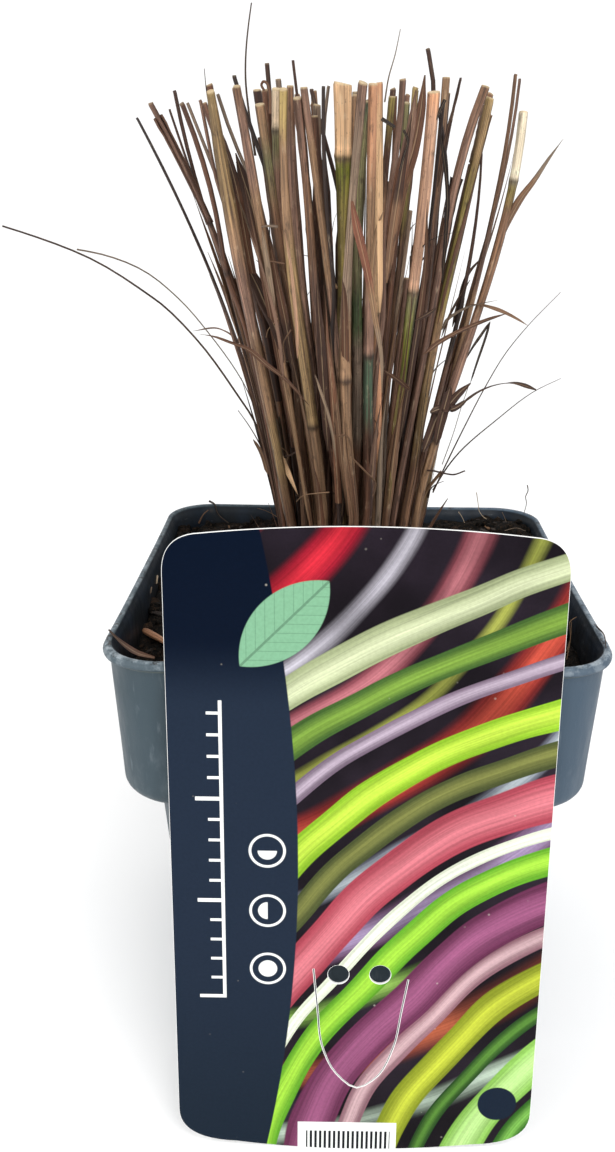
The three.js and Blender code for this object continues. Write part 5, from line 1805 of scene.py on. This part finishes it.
# Fibres and scraps on the rim and the soil, and two pale strokes on the left inner wall that stand for glints
# there (painted highlights): their points, thickness and colour
LOOSE_BITS_AND_GLINTS = placed([
    ("-36.2,44.4,98.3 -34.8,43.4,97.8 -34.1,42.8,95.8 -31.2,41.2,93.6", 0.55, "black"),
    ("-38.4,40,93.9 -37.1,40,96.3 -35.9,40,97.4", 0.45, "brown"),
    ("30.4,42,102.2 31,42,99.3 31.3,41.9,97.6 32.2,41.6,96.3 34.1,40.8,95.2", 0.22, "cream"),
    ("42.3,39.5,105 42.6,39.5,103.6 42.1,39.4,102 42.4,39.3,100.8 42,39.2,97.6", 0.26, "dark"),
    ("26.3,42.4,97 27.2,42,95.8 28,41,94.2", 0.2, "cream"),
    ("36.7,39.4,98 37.4,39.4,96.6 38.2,39,94.8", 0.2, "grey"),
    ("44.3,-28.2,97.9 44.5,-32.9,98.3 43.9,-37,97.8", 0.3, "dark"),
    ("36,33,95.2 39,31.6,96.6 41.6,33,95.4", 0.3, "grey"),
    ("41,-21.4,89.4 41.8,-20.2,91.5 41.5,-20,95.4 42.6,-19.6,96", 0.24, "tan"),
    ("40.4,-24.5,89.2 41.3,-22,92 41.6,-20.2,95.2", 0.2, "tan"),
    # These two pale strokes are painted highlights: glints on the left inner wall
    ("-42.9,5.4,93.4 -42.8,3.6,92.3", 0.5, "cream"),
    ("-42.9,-1.8,93.6 -42.8,-3.6,93", 0.4, "grey"),
    ("-20,36,93 -16,38,93.8 -11,37.5,93.2", 0.5, "brown"),
    ("12,-32,88.6 18,-34,89.2 24,-31,88.8", 0.6, "tan"),
    ("-12,-34,88.4 -18,-30,89.2 -22,-31,88.9", 0.5, "umber"),
    ("33,6,91.2 36,12,92.4 35,18,92.2", 0.45, "brown"),
    ("-38,6,90.4 -36.5,10,91.4 -37.5,15,91.2", 0.4, "tan"),
])


class GRASS_OT_label(bpy.types.Operator):
    """Make the card label that leans on the rim"""
    bl_idname = "potted_grass.label"
    bl_label = "Label"

    def execute(self, context):
        settings = context.scene.grass_label
        width, length, thickness = settings.width / MM, settings.length / MM, settings.thickness / MM
        curve = bpy.data.curves.new("label_outline", "CURVE")
        curve.dimensions = "2D"
        curve.fill_mode = "BOTH"
        edge = 0.09
        curve.extrude = (thickness / 2 - edge) * MM
        curve.bevel_depth = edge * MM
        curve.bevel_resolution = 1
        curve.offset = -edge * MM
        loops = [label_outline(width, length), tongue_slit()]
        for u, s in LABEL_HOLES:
            loops.append([(u + LABEL_HOLE_RADIUS * math.cos(a), s + LABEL_HOLE_RADIUS * math.sin(a))
                          for a in np.linspace(0, 2 * math.pi, 41)[:-1]])
        for loop in loops:
            spline = curve.splines.new("POLY")
            spline.points.add(len(loop) - 1)
            for point, (u, s) in zip(spline.points, loop):
                point.co = (u * MM, s * MM, 0, 1)
            spline.use_cyclic_u = True
        outline = add_object("label_outline", curve)
        mesh = final_mesh(outline)
        bpy.data.objects.remove(outline)
        make_solid(mesh)
        card = mesh.uv_layers.new(name="card")
        for corner in mesh.loops:
            u, s, _ = mesh.vertices[corner.vertex_index].co / MM
            card.data[corner.index].uv = (u / width + 0.5, s / length)
        mesh.materials.clear()
        mesh.materials.append(make_material("printed_card", paint_print, settings))
        mesh.materials.append(make_material("bare_card", paint_card, settings))
        for face in mesh.polygons:
            face.material_index = 0 if face.normal.z > 0.95 else 1
            face.use_smooth = False
        rim, bead = context.scene.grass_pot.rim / MM, context.scene.grass_pot.height / MM - BEAD_HEIGHT / 2
        rise = (GAP + bead * math.sin(settings.tilt)) / math.cos(settings.tilt)
        turn = Matrix.Rotation(math.pi / 2 - settings.tilt, 4, "X")
        middle = Matrix.Translation((0, 0, thickness / 2 * MM))
        place = Matrix.Translation((LABEL_SHIFT * MM, -(rim + rise) * MM, 0))
        mesh.transform(place @ turn @ middle)
        mount(add_object("plant_label", mesh), ["label"])
        return {"FINISHED"}


def quadratic(start, pull, end, steps):
    """Points on a quadratic curve, without the first one."""
    points = []
    for k in range(1, steps + 1):
        t = k / steps
        points.append(tuple(
            (1 - t) ** 2 * a + 2 * t * (1 - t) * b + t * t * c for a, b, c in zip(start, pull, end)))
    return points


def label_outline(width, length):
    """The outline of the card, with bowed ends and round corners."""
    half = width / 2
    top = length - LABEL_BOW
    rise = LABEL_BOW * LABEL_EDGE_RISE
    pull = 2 * LABEL_BOW - rise
    top_end, foot_end = half - LABEL_TOP_ROUND, half - LABEL_FOOT_ROUND[0]
    points = [(-half, LABEL_BOW + LABEL_FOOT_ROUND[1])]
    points += quadratic(points[-1], (-half, LABEL_BOW), (-foot_end, LABEL_BOW - rise), 12)
    points += quadratic(points[-1], (0, LABEL_BOW - pull), (foot_end, LABEL_BOW - rise), 28)
    points += quadratic(points[-1], (half, LABEL_BOW), (half, LABEL_BOW + LABEL_FOOT_ROUND[1]), 12)
    points += stretch(points[-1], (half, top - LABEL_TOP_ROUND), 10)
    points += quadratic(points[-1], (half, top), (top_end, top + rise), 12)
    points += quadratic(points[-1], (0, top + pull), (-top_end, top + rise), 28)
    points += quadratic(points[-1], (-half, top), (-half, top - LABEL_TOP_ROUND), 12)
    return points + stretch(points[-1], points[0], 10)[:-1]


def tongue_slit():
    """The thin loop that cuts the tongue out of the card."""
    middle = smooth_path([(u, s, 0) for u, s in TONGUE_POINTS], 34)[:, :2]
    along = np.gradient(middle, axis=0)
    across = np.column_stack([-along[:, 1], along[:, 0]])
    across *= TONGUE_SLIT / 2 / np.linalg.norm(across, axis=1)[:, None]
    return [tuple(p) for p in np.concatenate([middle + across, (middle - across)[::-1]])]


class GRASS_OT_stage(bpy.types.Operator):
    """Set up the pale floor, the soft lights and the camera"""
    bl_idname = "potted_grass.stage"
    bl_label = "Stage"

    def execute(self, context):
        settings = context.scene.grass_stage
        scene = context.scene
        reach, bend, sweep_radius, wall = 1.6, 0.5, 0.6, 1.8
        cove = arc((bend, sweep_radius), sweep_radius, -90, 0, 24)
        outline = [(-reach, 0), *cove, (bend + sweep_radius, wall)]
        points = [(side * reach, y, z) for y, z in outline for side in (-1, 1)]
        faces = [(2 * k, 2 * k + 1, 2 * k + 3, 2 * k + 2) for k in range(len(outline) - 1)]
        mesh = bpy.data.meshes.new("studio_floor")
        mesh.from_pydata(points, [], faces)
        mesh.materials.append(make_material("studio_paper", paint_floor, settings))
        smooth(mesh)
        add_object("studio_floor", mesh)

        world = bpy.data.worlds.new("studio_sky")
        world.use_nodes = True
        sky = world.node_tree.nodes["Background"]
        sky.inputs["Color"].default_value = (1, 1, 1, 1)
        sky.inputs["Strength"].default_value = settings.sky
        scene.world = world
        add_light("key_light", (0.28, -0.62, 0.78), 0.6, settings.key)
        add_light("fill_light", (-0.6, -0.4, 0.5), 0.5, settings.fill)

        camera = bpy.data.cameras.new("view")
        camera.sensor_width = SENSOR
        camera.lens = FOCAL_PIXELS * SENSOR / PICTURE[1]
        camera.shift_x = (PICTURE[0] / 2 - PICTURE_MIDDLE[0]) / PICTURE[1]
        camera.shift_y = (PICTURE_MIDDLE[1] - PICTURE[1] / 2) / PICTURE[1]
        camera.clip_start = 0.01
        eye = add_object("view", camera)
        forward = Vector((math.sin(CAMERA_YAW) * math.cos(CAMERA_PITCH),
                          math.cos(CAMERA_YAW) * math.cos(CAMERA_PITCH), -math.sin(CAMERA_PITCH)))
        right = Vector((math.cos(CAMERA_YAW), -math.sin(CAMERA_YAW), 0))
        up = right.cross(forward)
        cos, sin = math.cos(CAMERA_ROLL), math.sin(CAMERA_ROLL)
        turned = Matrix((cos * right + sin * up, cos * up - sin * right, -forward)).transposed().to_4x4()
        eye.matrix_world = Matrix.Translation(Vector(CAMERA_PLACE) * MM) @ turned
        scene.camera = eye
        scene.view_settings.view_transform = "Standard"
        return {"FINISHED"}


def add_light(name, place, size, power):
    """A square soft light that points at the clump."""
    lamp = bpy.data.lights.new(name, "AREA")
    lamp.energy = power
    lamp.size = size
    light = add_object(name, lamp)
    aim = Vector((0, 0, 0.11)) - Vector(place)
    light.matrix_world = Matrix.Translation(place) @ aim.to_track_quat("-Z", "Y").to_matrix().to_4x4()


OPERATORS = [GRASS_OT_stage, GRASS_OT_pot, GRASS_OT_soil, GRASS_OT_clump, GRASS_OT_debris, GRASS_OT_label]


class GRASS_PT_panel(bpy.types.Panel):
    bl_idname = "GRASS_PT_panel"
    bl_label = "Potted Grass"
    bl_space_type = "VIEW_3D"
    bl_region_type = "UI"
    bl_category = "Potted Grass"

    def draw(self, context):
        for operator in OPERATORS:
            self.layout.operator(operator.bl_idname)
        for name, group in SETTINGS.items():
            box = self.layout.box()
            for prop in group.__annotations__:
                box.prop(getattr(context.scene, name), prop)


SETTINGS = {
    "grass_pot": GrassPotSettings, "grass_soil": GrassSoilSettings, "grass_clump": GrassClumpSettings,
    "grass_label": GrassLabelSettings, "grass_stage": GrassStageSettings,
}


def register():
    for kind in [*SETTINGS.values(), *OPERATORS, GRASS_PT_panel]:
        bpy.utils.register_class(kind)
    for name, group in SETTINGS.items():
        setattr(bpy.types.Scene, name, PointerProperty(type=group))


def unregister():
    for name in SETTINGS:
        delattr(bpy.types.Scene, name)
    for kind in reversed([*SETTINGS.values(), *OPERATORS, GRASS_PT_panel]):
        bpy.utils.unregister_class(kind)


def main():
    register()
    for operator in OPERATORS:
        name = operator.bl_idname.split(".")[1]
        getattr(bpy.ops.potted_grass, name)()


if __name__ == "__main__":
    main()
